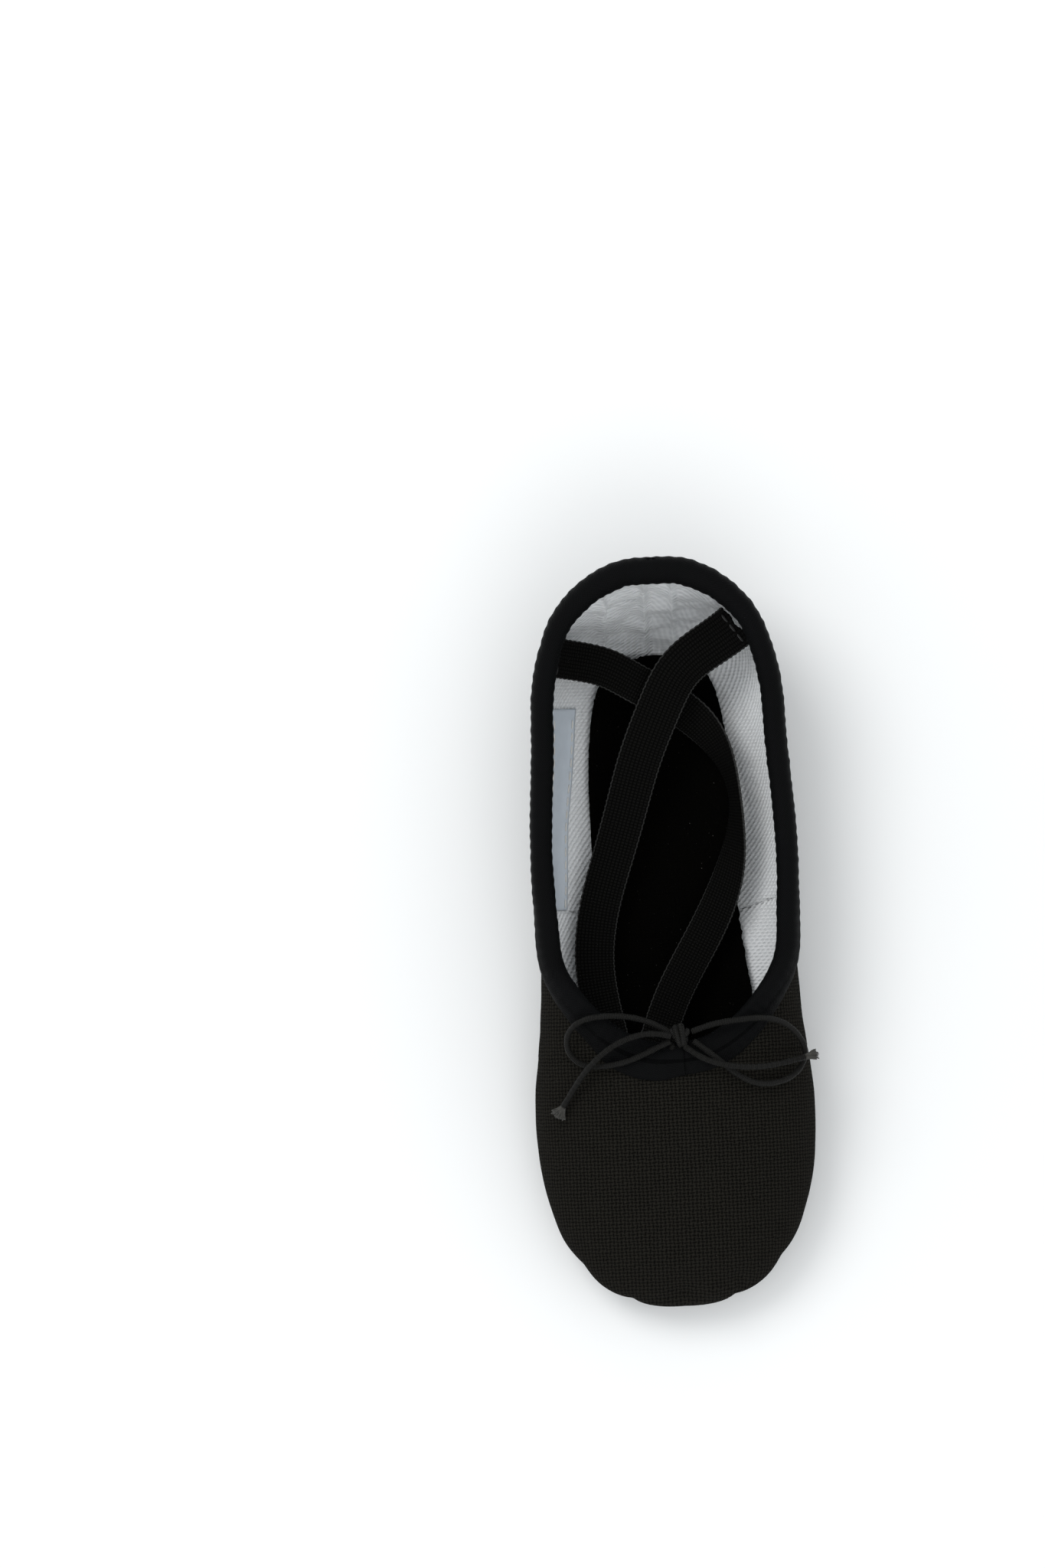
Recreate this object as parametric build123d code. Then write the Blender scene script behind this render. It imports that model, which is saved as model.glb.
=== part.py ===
"""A soft canvas ballet slipper: a black canvas upper over a white lining, a split suede sole, a bound
topline that holds an elastic drawstring tied in a bow, and two crossed elastic straps.

Frame: +Z up, toe towards -Y, heel towards +Y, X across. The origin is on the floor under the middle
of the slipper's box. All sizes are in millimetres. Each piece is written to parts/NODE.step.

The upper, the lining, the insole and the soles are layers of one body. Its cross-sections at constant Y
are closed outlines of two superellipse halves that meet at the widest height.
"""

import math
import os

from build123d import *

# --- Driving dimensions ---------------------------------------------------------------------------
LENGTH = 230.0
TOE_Y, HEEL_Y = -LENGTH / 2, LENGTH / 2
BALL_Y, BALL_HALF_WIDTH = -53.0, 43.0  # where the slipper is widest
HEEL_ROUND_Y, HEEL_HALF_WIDTH = 60.0, 37.0  # the plan outline starts to close here
PLAN_POWER = 2.35  # roundness of the toe and of the heel, seen from above
CANVAS_BOTTOM = 1.4  # the patches fill the space below it
NOSE_Z = 12.0  # height of the foremost point
VAMP_TOP_Y, VAMP_TOP_Z = -32.0, 43.5
TOE_ROOF_POWER = 1.7
TOE_SPRING_Y = -80.0  # the underside starts to rise here
HEEL_RISE_Y, HEEL_BACK_Z = 78.0, 50.0  # the heel cup starts to rise, and is vertical, here
HEEL_ROOF = 22.0  # how far the closed body stands above the heel's widest height

# Stations along Y that shape the middle of the body: (y, value).
MID_WIDTH = [(BALL_Y, BALL_HALF_WIDTH), (-25, 40.2), (5, 39.0), (30, 38.9), (HEEL_ROUND_Y, HEEL_HALF_WIDTH)]
WIDEST_Z = [(TOE_Y, 12), (-90, 14), (-60, 17), (-32, 21.5), (-19, 25), (-3, 30), (20, 37), (50, 41), (85, 46)]
WIDEST_Z += [(HEEL_Y, 50)]
ROOF_Z = [(VAMP_TOP_Y, VAMP_TOP_Z), (-25, 45.5), (-19, 48), (-12, 52), (-3, 56), (20, 60), (HEEL_ROUND_Y, 64)]
TOPLINE_Z = [(-20, 40.6), (-12, 39.2), (-3, 38.2), (20, 38), (45, 39.4), (70, 43), (95, 48.2), (HEEL_Y, 51.5)]
LOW_POWER = [(TOE_Y, 2.2), (BALL_Y, 2.9), (20, 2.9), (70, 2.6), (HEEL_Y, 2.1)]
HIGH_POWER = [(TOE_Y, 2.0), (-32, 2.2), (20, 2.2), (HEEL_Y, 2.0)]

# Layers, as depths below the canvas's outside.
CANVAS = (0.0, 1.0)
LINING = (1.2, 1.8)
PADS = (2.0, 3.0)
INSOLE = (3.2, 4.6)
SUEDE = 1.6  # how far a sole patch stands out of the canvas, before its underside is ground flat
PATCH_GAP = 0.1

# Bound topline and its drawstring.
TAPE_SIDE = (4.2, 3.0)  # half height and half thickness of the folded tape along the sides
TAPE_FRONT = (4.7, 2.0)  # the same where it lies flat on the vamp
TAPE_INSIDE = 0.5  # depth of the tape's middle below the canvas's outside
TAPE_CLEARANCE = 0.25
FRONT_TAPE = [(2.6, -37.6), (9, -36.7), (17, -33), (24, -27), (30, -19.5)]  # its middle across the vamp
SIDE_TAPE_Y = [-9, 4, 22, 42, 60, 76, 90, 101, 108, 111.2]  # where the tape's middle is placed along the side
TAPE_BACK = (0, 112, 51.5)
NOTCH = ((-3.2, 3.2), (-44, -30), (30, 60))  # cut out of the vamp for the drawstring's way out
CORNER_SHARE = 0.45  # the tape's rounded corners, as a share of its thickness
CORD_RADIUS = 0.95
CASING_RADIUS = 1.2

# Seams.
SEAM = [(-60, 18), (-30, 8), (0, 3), (30, 8), (60, 18)]  # the vamp ends on this curve, seen from above
SEAM_GAP = 0.3
HEEL_STRIP_X, HEEL_STRIP_Y = (-16.5, 8.5), 97.0
HEEL_LINING_X, HEEL_LINING_Y = (-17.0, 6.0), 88.0

# Elastic straps, each as the middles of its band: (x, y, z, roll in degrees), from the sewn end.
STRAP_THICKNESS = 0.9
OVER_WIDTH, UNDER_WIDTH = (14.0, 11.5), (12.0, 11.0)  # at the sewn end, and at the front, where it is stretched
TACK_PITCH, TACK_DOWN, TACK_GAP = 3.8, 1.5, 0.15  # tacks across a strap, this far below its sewn end
STRAP_OVER = [
    (25.2, 93.6, 42.6, 0),
    (23.0, 92.0, 37.5, 0),
    (17.5, 88.5, 33.0, 0),
    (8.0, 81.5, 28.5, 0),
    (1.0, 70.0, 24.5, 0),
    (-5.7, 54.6, 20.5, 0),
    (-10.7, 39.3, 17.0, 0),
    (-15.7, 24.0, 14.5, 0),
    (-20.4, 8.8, 14.0, 0),
    (-22.6, -6.6, 14.5, 0),
    (-21.4, -20.0, 15.5, 0),
    (-18.5, -34.0, 17.0, 0),
]
STRAP_UNDER = [
    (-30.6, 86.4, 41.6, 0),
    (-28.6, 86.0, 36.0, 0),
    (-23.5, 85.0, 31.0, 0),
    (-15.0, 82.6, 27.0, 0),
    (-5.8, 77.4, 23.2, 0),
    (3.0, 72.2, 20.5, 8),
    (11.3, 66.0, 18.5, 20),
    (18.6, 56.5, 18.5, 50),
    (22.6, 43.7, 19.0, 72),
    (22.8, 31.5, 18.5, 64),
    (20.4, 19.0, 16.5, 40),
    (13.0, 2.0, 13.0, 12),
    (1.5, -18.0, 14.5, 0),
    (-5.0, -34.0, 17.0, 0),
]

# Bow: a knot, and the cords that leave it. Each route is a list of points.
KNOT, KNOT_RADIUS = (2.2, -30.6, 46.4), 3.1
CORD_TIP = 5.0  # length of a frayed end
EXIT_LEFT = [(-1.5, -36.6, 43.4), (-0.9, -35.0, 44.2), (0.0, -33.1, 45.0)]
EXIT_RIGHT = [(1.5, -36.6, 43.4), (1.7, -35.2, 44.0), (2.0, -33.7, 44.5)]
LOOP_LEFT = [
    (-1.2, -29.4, 46.6),
    (-7.0, -26.2, 47.0),
    (-13.6, -24.2, 47.0),
    (-20.8, -23.7, 46.4),
    (-27.8, -24.9, 44.8),
    (-31.9, -28.7, 42.4),
    (-32.0, -34.1, 40.6),
    (-28.0, -38.2, 40.8),
    (-21.0, -38.9, 43.2),
    (-14.0, -37.6, 45.6),
    (-7.2, -34.9, 46.8),
    (-1.0, -32.2, 47.0),
]
LOOP_RIGHT = [
    (5.6, -29.6, 46.6),
    (12.4, -27.6, 47.0),
    (19.8, -26.7, 46.4),
    (27.0, -26.4, 44.6),
    (33.6, -28.2, 41.6),
    (38.4, -32.6, 38.0),
    (40.2, -38.2, 35.0),
    (37.4, -43.6, 35.6),
    (31.4, -46.4, 38.8),
    (24.6, -46.2, 42.0),
    (18.4, -42.8, 44.2),
    (12.2, -37.4, 46.2),
    (6.0, -32.4, 46.9),
]
TAIL_LEFT = [
    (-0.8, -30.6, 48.8),
    (-7.0, -29.6, 49.2),
    (-13.2, -30.6, 48.6),
    (-19.0, -33.2, 47.6),
    (-24.0, -37.0, 46.0),
    (-28.2, -41.6, 42.8),
    (-31.8, -46.8, 39.0),
    (-34.4, -50.8, 36.4),
]
TAIL_RIGHT = [
    (3.4, -34.0, 47.2),
    (8.2, -37.4, 48.6),
    (14.2, -39.8, 48.0),
    (20.8, -41.0, 46.4),
    (27.6, -41.2, 43.2),
    (34.2, -40.4, 39.8),
    (40.0, -39.2, 38.0),
]

# Label on the left inner wall.
LABEL_Y, LABEL_Z, LABEL_DEPTH = (9.0, 71.0), (17.0, 31.0), (1.95, 2.45)
LABEL_STITCHES, LABEL_HEM = 15, 1.2  # stitches in a row, and how far a row stands inside the label's edge

# Stitches: length, width and thickness of one, and the distance from each to the next.
STITCH = (2.8, 0.8, 0.5)
STITCH_PITCH = 4.0
STITCH_POCKET = 0.15  # room around a stitch in the suede

STATIONS = [-112, -107, -100, -90, -78, -62, -46, -32, -18, -4, 14, 34, 54, 70, 82, 92, 101, 108, 112]
END_MARGIN = 0.5  # a body's first and last cross-sections stand this far inside its ends
QUARTER_POINTS = 7


# --- The body's shape -----------------------------------------------------------------------------
def smooth(table, y):
    """A smooth curve through the table's points, level beyond its ends."""
    if y <= table[0][0]:
        return table[0][1]
    if y >= table[-1][0]:
        return table[-1][1]
    i = max(k for k in range(len(table) - 1) if table[k][0] <= y)

    def slope(k):
        if k in (0, len(table) - 1):
            return 0.0
        before = (table[k][1] - table[k - 1][1]) / (table[k][0] - table[k - 1][0])
        after = (table[k + 1][1] - table[k][1]) / (table[k + 1][0] - table[k][0])
        return 0.0 if before * after <= 0 else 2 * before * after / (before + after)

    (y0, a), (y1, b) = table[i], table[i + 1]
    run = y1 - y0
    t = (y - y0) / run
    return (
        a * (1 + 2 * t) * (1 - t) ** 2
        + b * t * t * (3 - 2 * t)
        + slope(i) * run * t * (1 - t) ** 2
        - slope(i + 1) * run * t * t * (1 - t)
    )


def quarter(u, power):
    """A superellipse quarter: 1 where u is 0, and 0 where u is 1."""
    return max(0.0, 1 - min(1.0, max(0.0, u)) ** power) ** (1 / power)


def half_width(y):
    if y < BALL_Y:
        return BALL_HALF_WIDTH * quarter((BALL_Y - y) / (BALL_Y - TOE_Y), PLAN_POWER)
    if y > HEEL_ROUND_Y:
        return HEEL_HALF_WIDTH * quarter((y - HEEL_ROUND_Y) / (HEEL_Y - HEEL_ROUND_Y), PLAN_POWER)
    return smooth(MID_WIDTH, y)


def bottom(y):
    if y < TOE_SPRING_Y:
        rise = quarter((TOE_SPRING_Y - y) / (TOE_SPRING_Y - TOE_Y), 2)
        return NOSE_Z - (NOSE_Z - CANVAS_BOTTOM) * rise
    if y > HEEL_RISE_Y:
        rise = quarter((y - HEEL_RISE_Y) / (HEEL_Y - HEEL_RISE_Y), 2)
        return HEEL_BACK_Z - (HEEL_BACK_Z - CANVAS_BOTTOM) * rise
    return CANVAS_BOTTOM


def widest(y):
    return smooth(WIDEST_Z, y)


def top(y):
    if y < VAMP_TOP_Y:
        rise = quarter((VAMP_TOP_Y - y) / (VAMP_TOP_Y - TOE_Y), TOE_ROOF_POWER)
        return NOSE_Z + (VAMP_TOP_Z - NOSE_Z) * rise
    if y > HEEL_ROUND_Y:
        return widest(y) + HEEL_ROOF * (half_width(y) / HEEL_HALF_WIDTH) ** 0.5
    return smooth(ROOF_Z, y)


def stretch(profile, y):
    """How much further apart two parallel outlines stand along one axis where the outline is steep."""
    step = 0.2
    rise = (profile(y + step) - profile(y - step)) / (2 * step)
    return min(4.0, math.sqrt(1 + rise * rise))


def section_sizes(y, depth):
    """Half width, bottom, widest height and top of the cross-section at y, at that depth."""
    w = max(2.5, half_width(y) - depth * stretch(half_width, y))
    middle = widest(y)
    low = min(middle - 1.5, bottom(y) + depth * stretch(bottom, y))
    high = max(middle + 1.5, top(y) - depth * stretch(top, y))
    return w, low, middle, high


def on_section(y, angle, depth=0.0):
    """The point at y and angle: -90 is the bottom, 0 the widest height and 90 the top."""
    w, low, middle, high = section_sizes(y, depth)
    s, c = math.sin(math.radians(angle)), math.cos(math.radians(angle))
    power = smooth(HIGH_POWER if s > 0 else LOW_POWER, y)
    x = w * max(0.0, c) ** (2 / power)
    reach = (high - middle) if s > 0 else (low - middle)
    return Vector(x, y, middle + reach * abs(s) ** (2 / power))


def angle_at(y, z, depth=0.0):
    """The angle of the section's point at height z."""
    _, low, middle, high = section_sizes(y, depth)
    power = smooth(HIGH_POWER if z > middle else LOW_POWER, y)
    reach = (z - middle) / (high - middle) if z > middle else (middle - z) / (middle - low)
    turn = math.degrees(math.asin(min(1.0, max(0.0, reach)) ** (power / 2)))
    return turn if z > middle else -turn


def floor_at(x, y, depth=0.0):
    """The height of the section's lower half at x."""
    w, low, middle, _ = section_sizes(y, depth)
    return middle - (middle - low) * quarter(abs(x) / w, smooth(LOW_POWER, y))


def roof_at(x, y, depth=0.0):
    """The height of the section's upper half at x."""
    w, _, middle, high = section_sizes(y, depth)
    return middle + (high - middle) * quarter(abs(x) / w, smooth(HIGH_POWER, y))


def body(depth):
    """The closed body that far inside the canvas's outside, or outside it where depth is negative."""
    first, last = TOE_Y + depth + END_MARGIN, HEEL_Y - depth - END_MARGIN
    inside = [y for y in STATIONS if first + 1 < y < last - 1]
    faces = []
    step = 90 / QUARTER_POINTS
    around = [k / (4 * QUARTER_POINTS) for k in range(4 * QUARTER_POINTS + 1)]  # the same on every section
    for y in [first, *inside, last]:
        side = [on_section(y, -90 + step * k, depth) for k in range(2 * QUARTER_POINTS + 1)]
        other = [Vector(-p.X, p.Y, p.Z) for p in side[-2:0:-1]]
        faces.append(Face(Wire(Edge.make_spline(side + other, periodic=True, parameters=around))))
    return loft(faces)


# --- Outlines seen from above, each as the few points of a closed curve ---------------------------
FRONT_PATCH = [(0, 2), (11, -1.5), (19, -10), (26, -24), (31, -40), (34, -58), (32.5, -72), (25, -84)]
FRONT_PATCH += [(0, -91.5)]
FRONT_PAD = [(0, -12), (12, -18), (19, -34), (22, -54), (19, -72), (0, -82)]
HEEL_PATCH = [(0, 93.5), (10, 92), (18.5, 84), (20.5, 75), (17.5, 64.5), (12, 55), (0, 47.5)]
HEEL_PAD = [(0, 84), (9, 82), (14, 74), (12, 64), (0, 56)]
INSOLE_OUTLINE = [(0, 86), (14, 82), (20, 68), (22, 44), (22, 18), (24, -8), (28, -34), (31, -56), (27, -80)]
INSOLE_OUTLINE += [(14, -95), (0, -98)]
FOOT_OPENING = [(0, FRONT_TAPE[0][1]), *FRONT_TAPE[1:], (33.5, -11), (33, 20), (30, 60), (22, 90), (0, 100)]
FRONT_EDGE_ROW, FRONT_INNER_ROW, HEEL_ROW = 5.0, 17.0, 4.5  # how far inside a patch's outline its stitches run


def closed_curve(right_half):
    """A closed curve, symmetric in X, from the points of its right half."""
    points = right_half + [(-x, y) for x, y in right_half[-2:0:-1]]
    return Wire(Edge.make_spline([Vector(x, y, 0) for x, y in points], periodic=True))


def slab(outline, low, high):
    """The closed outline, seen from above, as a block between two heights."""
    return extrude(Pos(0, 0, low) * Face(outline), high - low, dir=(0, 0, 1))


def inset(right_half, distance):
    """The outline's points moved towards its middle by that distance."""
    middle = (right_half[0][1] + right_half[-1][1]) / 2
    moved = []
    for x, y in right_half:
        share = 1 - distance / math.hypot(x, y - middle)
        moved.append((x * share, middle + (y - middle) * share))
    return moved


def block(x, y, z):
    """A box from its lowest and highest x, y and z."""
    size = [high - low for low, high in (x, y, z)]
    centre = [(high + low) / 2 for low, high in (x, y, z)]
    return Pos(*centre) * Box(*size)


def in_front_of_seam(shift):
    """Everything in front of the seam between the vamp and the quarters."""
    seam = Edge.make_spline([Vector(x, y + shift, -5) for x, y in SEAM])
    left, right = seam @ 0, seam @ 1
    front = TOE_Y - 25
    corners = Polyline((right.X, right.Y, -5), (right.X, front, -5), (left.X, front, -5), (left.X, left.Y, -5))
    return extrude(Face(Wire([seam, *corners.edges()])), 100, dir=(0, 0, 1))


# --- Topline --------------------------------------------------------------------------------------
def roof_normal(x, y):
    step = 0.5
    slope_x = (roof_at(x + step, y) - roof_at(x - step, y)) / (2 * step)
    slope_y = (roof_at(x, y + step) - roof_at(x, y - step)) / (2 * step)
    return Vector(-slope_x, -slope_y, 1).normalized()


def wall_place(y, z, depth):
    """The point of the right wall at that y and height, and the direction outwards there."""
    angle = angle_at(y, z, depth)
    here = on_section(y, angle, depth)
    around = on_section(y, angle + 1, depth) - on_section(y, angle - 1, depth)
    ahead, behind = (on_section(y + s, angle_at(y + s, z, depth), depth) for s in (0.5, -0.5))
    out = (ahead - behind).cross(around).normalized()
    return here, (out if out.X > 0 else out * -1)


def mirrored(v):
    return Vector(-v.X, v.Y, v.Z)


def tape_path():
    """Middles and outward directions of the tape, from its left front end round the heel to its right one."""
    right = [(Vector(x, y, roof_at(x, y, TAPE_INSIDE)), roof_normal(x, y)) for x, y in FRONT_TAPE]
    right += [wall_place(y, smooth(TOPLINE_Z, y), TAPE_INSIDE + 0.7) for y in SIDE_TAPE_Y]
    left = [(mirrored(place), mirrored(out)) for place, out in right]
    return [*left, (Vector(*TAPE_BACK), Vector(0, 1, 0)), *right[::-1]]


def tape_sizes(y):
    """Half height and half thickness of the tape at y."""
    share = min(1.0, max(0.0, (y + 34) / 28))
    share = share * share * (3 - 2 * share)
    return [front + (side - front) * share for side, front in zip(TAPE_SIDE, TAPE_FRONT)]


def along(path, shape):
    """A loft through the sketches that shape gives for each place of the path."""
    sketches = []
    for i, (place, out) in enumerate(path):
        before, after = path[max(0, i - 1)][0], path[min(len(path) - 1, i + 1)][0]
        tangent = (after - before).normalized()
        across = (out - tangent * out.dot(tangent)).normalized()
        sketches.append(Plane(origin=place, x_dir=across, z_dir=tangent) * shape(place.Y))
    return loft(sketches)


def tape(margin):
    def shape(y):
        half_height, half_thickness = tape_sizes(y)
        width, height = 2 * (half_thickness + margin), 2 * (half_height + margin)
        return RectangleRounded(width, height, CORNER_SHARE * width)

    return along(tape_path(), shape)


def cord_in_casing():
    """The drawstring's route from the knot, through the whole casing and back to the knot."""
    middles = [(place.X, place.Y, place.Z) for place, _ in tape_path()]
    return EXIT_LEFT[::-1] + middles + EXIT_RIGHT


# --- Straps and cords -----------------------------------------------------------------------------
def band(route, widths):
    """A flat elastic band along the route, whose width changes evenly from the first to the second of widths."""
    sketches = []
    for i, (x, y, z, roll) in enumerate(route):
        before, after = route[max(0, i - 1)], route[min(len(route) - 1, i + 1)]
        tangent = Vector(*[after[k] - before[k] for k in range(3)]).normalized()
        level = Vector(-tangent.Y, tangent.X, 0).normalized()
        across = level.rotate(Axis((0, 0, 0), tangent), roll)
        plane = Plane(origin=(x, y, z), x_dir=across, z_dir=tangent)
        width = widths[0] + (widths[1] - widths[0]) * i / (len(route) - 1)
        sketches.append(plane * Rectangle(width, STRAP_THICKNESS))
    return loft(sketches)


def tube(name, route, radius=CORD_RADIUS):
    """A free cord: straight runs joined by arcs as large as the runs allow."""
    points = [Vector(*p) for p in route]
    runs = [b - a for a, b in zip(points, points[1:])]
    radii = []
    for before, after in zip(runs, runs[1:]):
        turn = math.radians(before.get_angle(after))
        radii.append(0.45 * min(before.length, after.length) / math.tan(turn / 2))
    line = FilletPolyline(*points, radius=radii)
    plane = Plane(origin=points[0], z_dir=runs[0])
    solid = sweep(plane * Circle(radius), path=line)
    length = sum(edge.length for edge in line.edges())
    expected = math.pi * radius**2 * length
    tightest = ", ".join(f"{r:.1f}" for r in sorted(radii)[:3])
    share = solid.volume / expected
    print(f"{name}: {length:.1f} long, tightest radii {tightest}, volume {share:.3f} of expected")
    return solid


def frayed_tip(route):
    """The loose end beyond the route's last point."""
    end = Vector(*route[-1])
    heading = (end - Vector(*route[-2])).normalized()
    return Plane(origin=end + heading * (CORD_TIP / 2 + 0.2), z_dir=heading) * Cone(
        CORD_RADIUS, CORD_RADIUS * 1.5, CORD_TIP
    )


# --- Stitches -------------------------------------------------------------------------------------
def stitch(place, heading, out, room=0.0):
    """One stitch lying along its heading. Its middle is at place, and out is away from the surface."""
    length, width, thickness = STITCH
    heading = (heading - out * heading.dot(out)).normalized()
    plane = Plane(origin=place, x_dir=heading, z_dir=out)
    if room == 0:
        return plane * Box(length, width, thickness)
    deep = thickness + 2 * room + 1.0
    return plane * Pos(0, 0, deep / 2 - thickness / 2 - room) * Box(length + 2 * room, width + 2 * room, deep)


def sole_stitches(right_half):
    """Places, headings and outward directions of the stitches along a closed row under a patch."""
    row = closed_curve(right_half)
    count = round(row.length / STITCH_PITCH)
    found = []
    step = 0.5
    for k in range(count):
        p, heading = row.position_at((k + 0.5) / count), row.tangent_at((k + 0.5) / count)
        face = floor_at(p.X, p.Y, -SUEDE)
        slope_x = (floor_at(p.X + step, p.Y, -SUEDE) - floor_at(p.X - step, p.Y, -SUEDE)) / (2 * step)
        slope_y = (floor_at(p.X, p.Y + step, -SUEDE) - floor_at(p.X, p.Y - step, -SUEDE)) / (2 * step)
        out = Vector(slope_x, slope_y, -1).normalized() if face > 0 else Vector(0, 0, -1)
        place = Vector(p.X, p.Y, max(face, 0.0)) - out * (STITCH[2] / 2 + 0.2)
        found.append((place, heading, out))
    return found


def wall_stitches(row, depth):
    """Stitches on the inside of the left wall, at the (y, z) places of a row."""
    found = []
    for (y, z), (next_y, next_z) in zip(row, row[1:]):
        here, out = wall_place(y, z, depth)
        there, _ = wall_place(next_y, next_z, depth)
        found.append((mirrored(here), mirrored(there - here), mirrored(out) * -1))
    return found


def tacks_across(route):
    """Three stitches across a strap's inner face, just below its sewn end."""
    start, below = Vector(*route[0][:3]), Vector(*route[1][:3])
    down = (below - start).normalized()
    across = Vector(-down.Y, down.X, 0).normalized()
    inwards = down.cross(across)
    if inwards.X * start.X > 0:
        inwards = inwards * -1
    lift = STRAP_THICKNESS / 2 + STITCH[2] / 2 + TACK_GAP
    middle = start + down * TACK_DOWN + inwards * lift
    return [(middle + across * (TACK_PITCH * k), across, inwards) for k in (-1, 0, 1)]


# --- Sub-parts ------------------------------------------------------------------------------------
def split_layer(layer, strip_x, strip_y):
    """A layer of the upper as its vamp, left quarter, right quarter and heel strip."""
    wide, tall, far = (-60, 60), (-5, 100), 130
    vamp = layer & in_front_of_seam(-SEAM_GAP / 2)
    rear = layer - in_front_of_seam(SEAM_GAP / 2)
    strip = rear & block(strip_x, (strip_y, far), tall)
    room = block((strip_x[0] - SEAM_GAP, strip_x[1] + SEAM_GAP), (strip_y - SEAM_GAP, far), tall)
    rear -= room
    left = rear & block((wide[0], -SEAM_GAP / 2), (-20, far), tall)
    right = rear & block((SEAM_GAP / 2, wide[1]), (-20, far), tall)
    return vamp, left, right, strip


def above_topline():
    """Everything above the topline's middle, with the whole foot opening."""
    front, count = -12, 12
    ys = [front + (HEEL_Y - front) * k / count for k in range(count + 1)]
    line = Edge.make_spline([Vector(-60, y, smooth(TOPLINE_Z, y)) for y in ys])
    start, end = line @ 0, line @ 1
    behind, above = end.Y + 10, 120
    corners = Polyline(
        (-60, end.Y, end.Z),
        (-60, behind, end.Z),
        (-60, behind, above),
        (-60, start.Y, above),
        (-60, start.Y, start.Z),
    )
    high = extrude(Face(Wire([line, *corners.edges()])), 120, dir=(1, 0, 0))
    return high + slab(closed_curve(FOOT_OPENING), 30, 120)


def upper_layers():
    """The canvas and the lining, each split at its seams."""
    away = above_topline() + tape(TAPE_CLEARANCE) + block(*NOTCH)
    canvas = body(CANVAS[0]) - body(CANVAS[1]) - away
    lining = body(LINING[0]) - body(LINING[1]) - away
    names = ("vamp", "left_quarter", "right_quarter", "heel_strip")
    nodes = dict(zip(names, split_layer(canvas, HEEL_STRIP_X, HEEL_STRIP_Y)))
    names = ("vamp_lining", "left_quarter_lining", "right_quarter_lining", "heel_lining")
    nodes.update(zip(names, split_layer(lining, HEEL_LINING_X, HEEL_LINING_Y)))
    return nodes


def soles():
    """The suede patches with their stitches, and the insole with the pads under it."""
    suede = (body(-SUEDE) - body(-PATCH_GAP)) & block((-60, 60), (-130, 130), (0, 20))
    nodes = {
        "front_patch": suede & slab(closed_curve(FRONT_PATCH), -5, 14),
        "heel_patch": suede & slab(closed_curve(HEEL_PATCH), -5, 14),
    }
    rows = {
        "front_patch_edge_stitching": ("front_patch", inset(FRONT_PATCH, FRONT_EDGE_ROW)),
        "front_patch_inner_stitching": ("front_patch", inset(FRONT_PATCH, FRONT_INNER_ROW)),
        "heel_patch_stitching": ("heel_patch", inset(HEEL_PATCH, HEEL_ROW)),
    }
    for name, (patch, row) in rows.items():
        places = sole_stitches(row)
        nodes[name] = Compound([stitch(*place) for place in places])
        nodes[patch] = nodes[patch] - [stitch(*place, room=STITCH_POCKET) for place in places]
    under = body(PADS[0]) - body(PADS[1])
    nodes["forefoot_pad"] = under & slab(closed_curve(FRONT_PAD), 0, 12)
    nodes["heel_pad"] = under & slab(closed_curve(HEEL_PAD), 0, 12)
    sock = body(INSOLE[0]) - body(INSOLE[1])
    nodes["insole"] = sock & slab(closed_curve(INSOLE_OUTLINE), 0, 14)
    return nodes


def label():
    """The blank woven label, with a row of stitches along its upper and its lower edge."""
    piece = (body(LABEL_DEPTH[0]) - body(LABEL_DEPTH[1])) & block((-60, 0), LABEL_Y, LABEL_Z)
    places = []
    step = (LABEL_Y[1] - LABEL_Y[0] - 3) / LABEL_STITCHES
    for z in (LABEL_Z[0] + LABEL_HEM, LABEL_Z[1] - LABEL_HEM):
        row = [(LABEL_Y[0] + 2 + step * k, z) for k in range(LABEL_STITCHES + 1)]
        places += wall_stitches(row, LABEL_DEPTH[1] + 0.4)
    return {"size_label": piece, "label_stitching": Compound([stitch(*place) for place in places])}


def straps():
    """Both straps, and the tacks that hold their sewn ends to the wall."""
    tacks = tacks_across(STRAP_OVER) + tacks_across(STRAP_UNDER)
    return {
        "strap_over": band(STRAP_OVER, OVER_WIDTH),
        "strap_under": band(STRAP_UNDER, UNDER_WIDTH),
        "strap_tacks": Compound([stitch(*place) for place in tacks]),
    }


def topline():
    return {
        "topline_binding": tape(0) - tube("casing", cord_in_casing(), CASING_RADIUS),
        "drawstring_in_casing": tube("drawstring_in_casing", cord_in_casing()),
    }


def bow():
    routes = {
        "bow_loop_left": LOOP_LEFT,
        "bow_loop_right": LOOP_RIGHT,
        "cord_tail_left": TAIL_LEFT,
        "cord_tail_right": TAIL_RIGHT,
    }
    nodes = {name: tube(name, route) for name, route in routes.items()}
    nodes["bow_knot"] = Pos(*KNOT) * Sphere(KNOT_RADIUS)
    nodes["cord_tip_left"] = frayed_tip(TAIL_LEFT)
    nodes["cord_tip_right"] = frayed_tip(TAIL_RIGHT)
    return nodes


os.makedirs("parts", exist_ok=True)
for make in (upper_layers, soles, label, straps, topline, bow):
    for name, shape in make().items():
        export_step(shape, f"parts/{name}.step")
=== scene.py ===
import math

import bmesh
import bpy
import numpy as np
from mathutils import Euler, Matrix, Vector, noise


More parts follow.
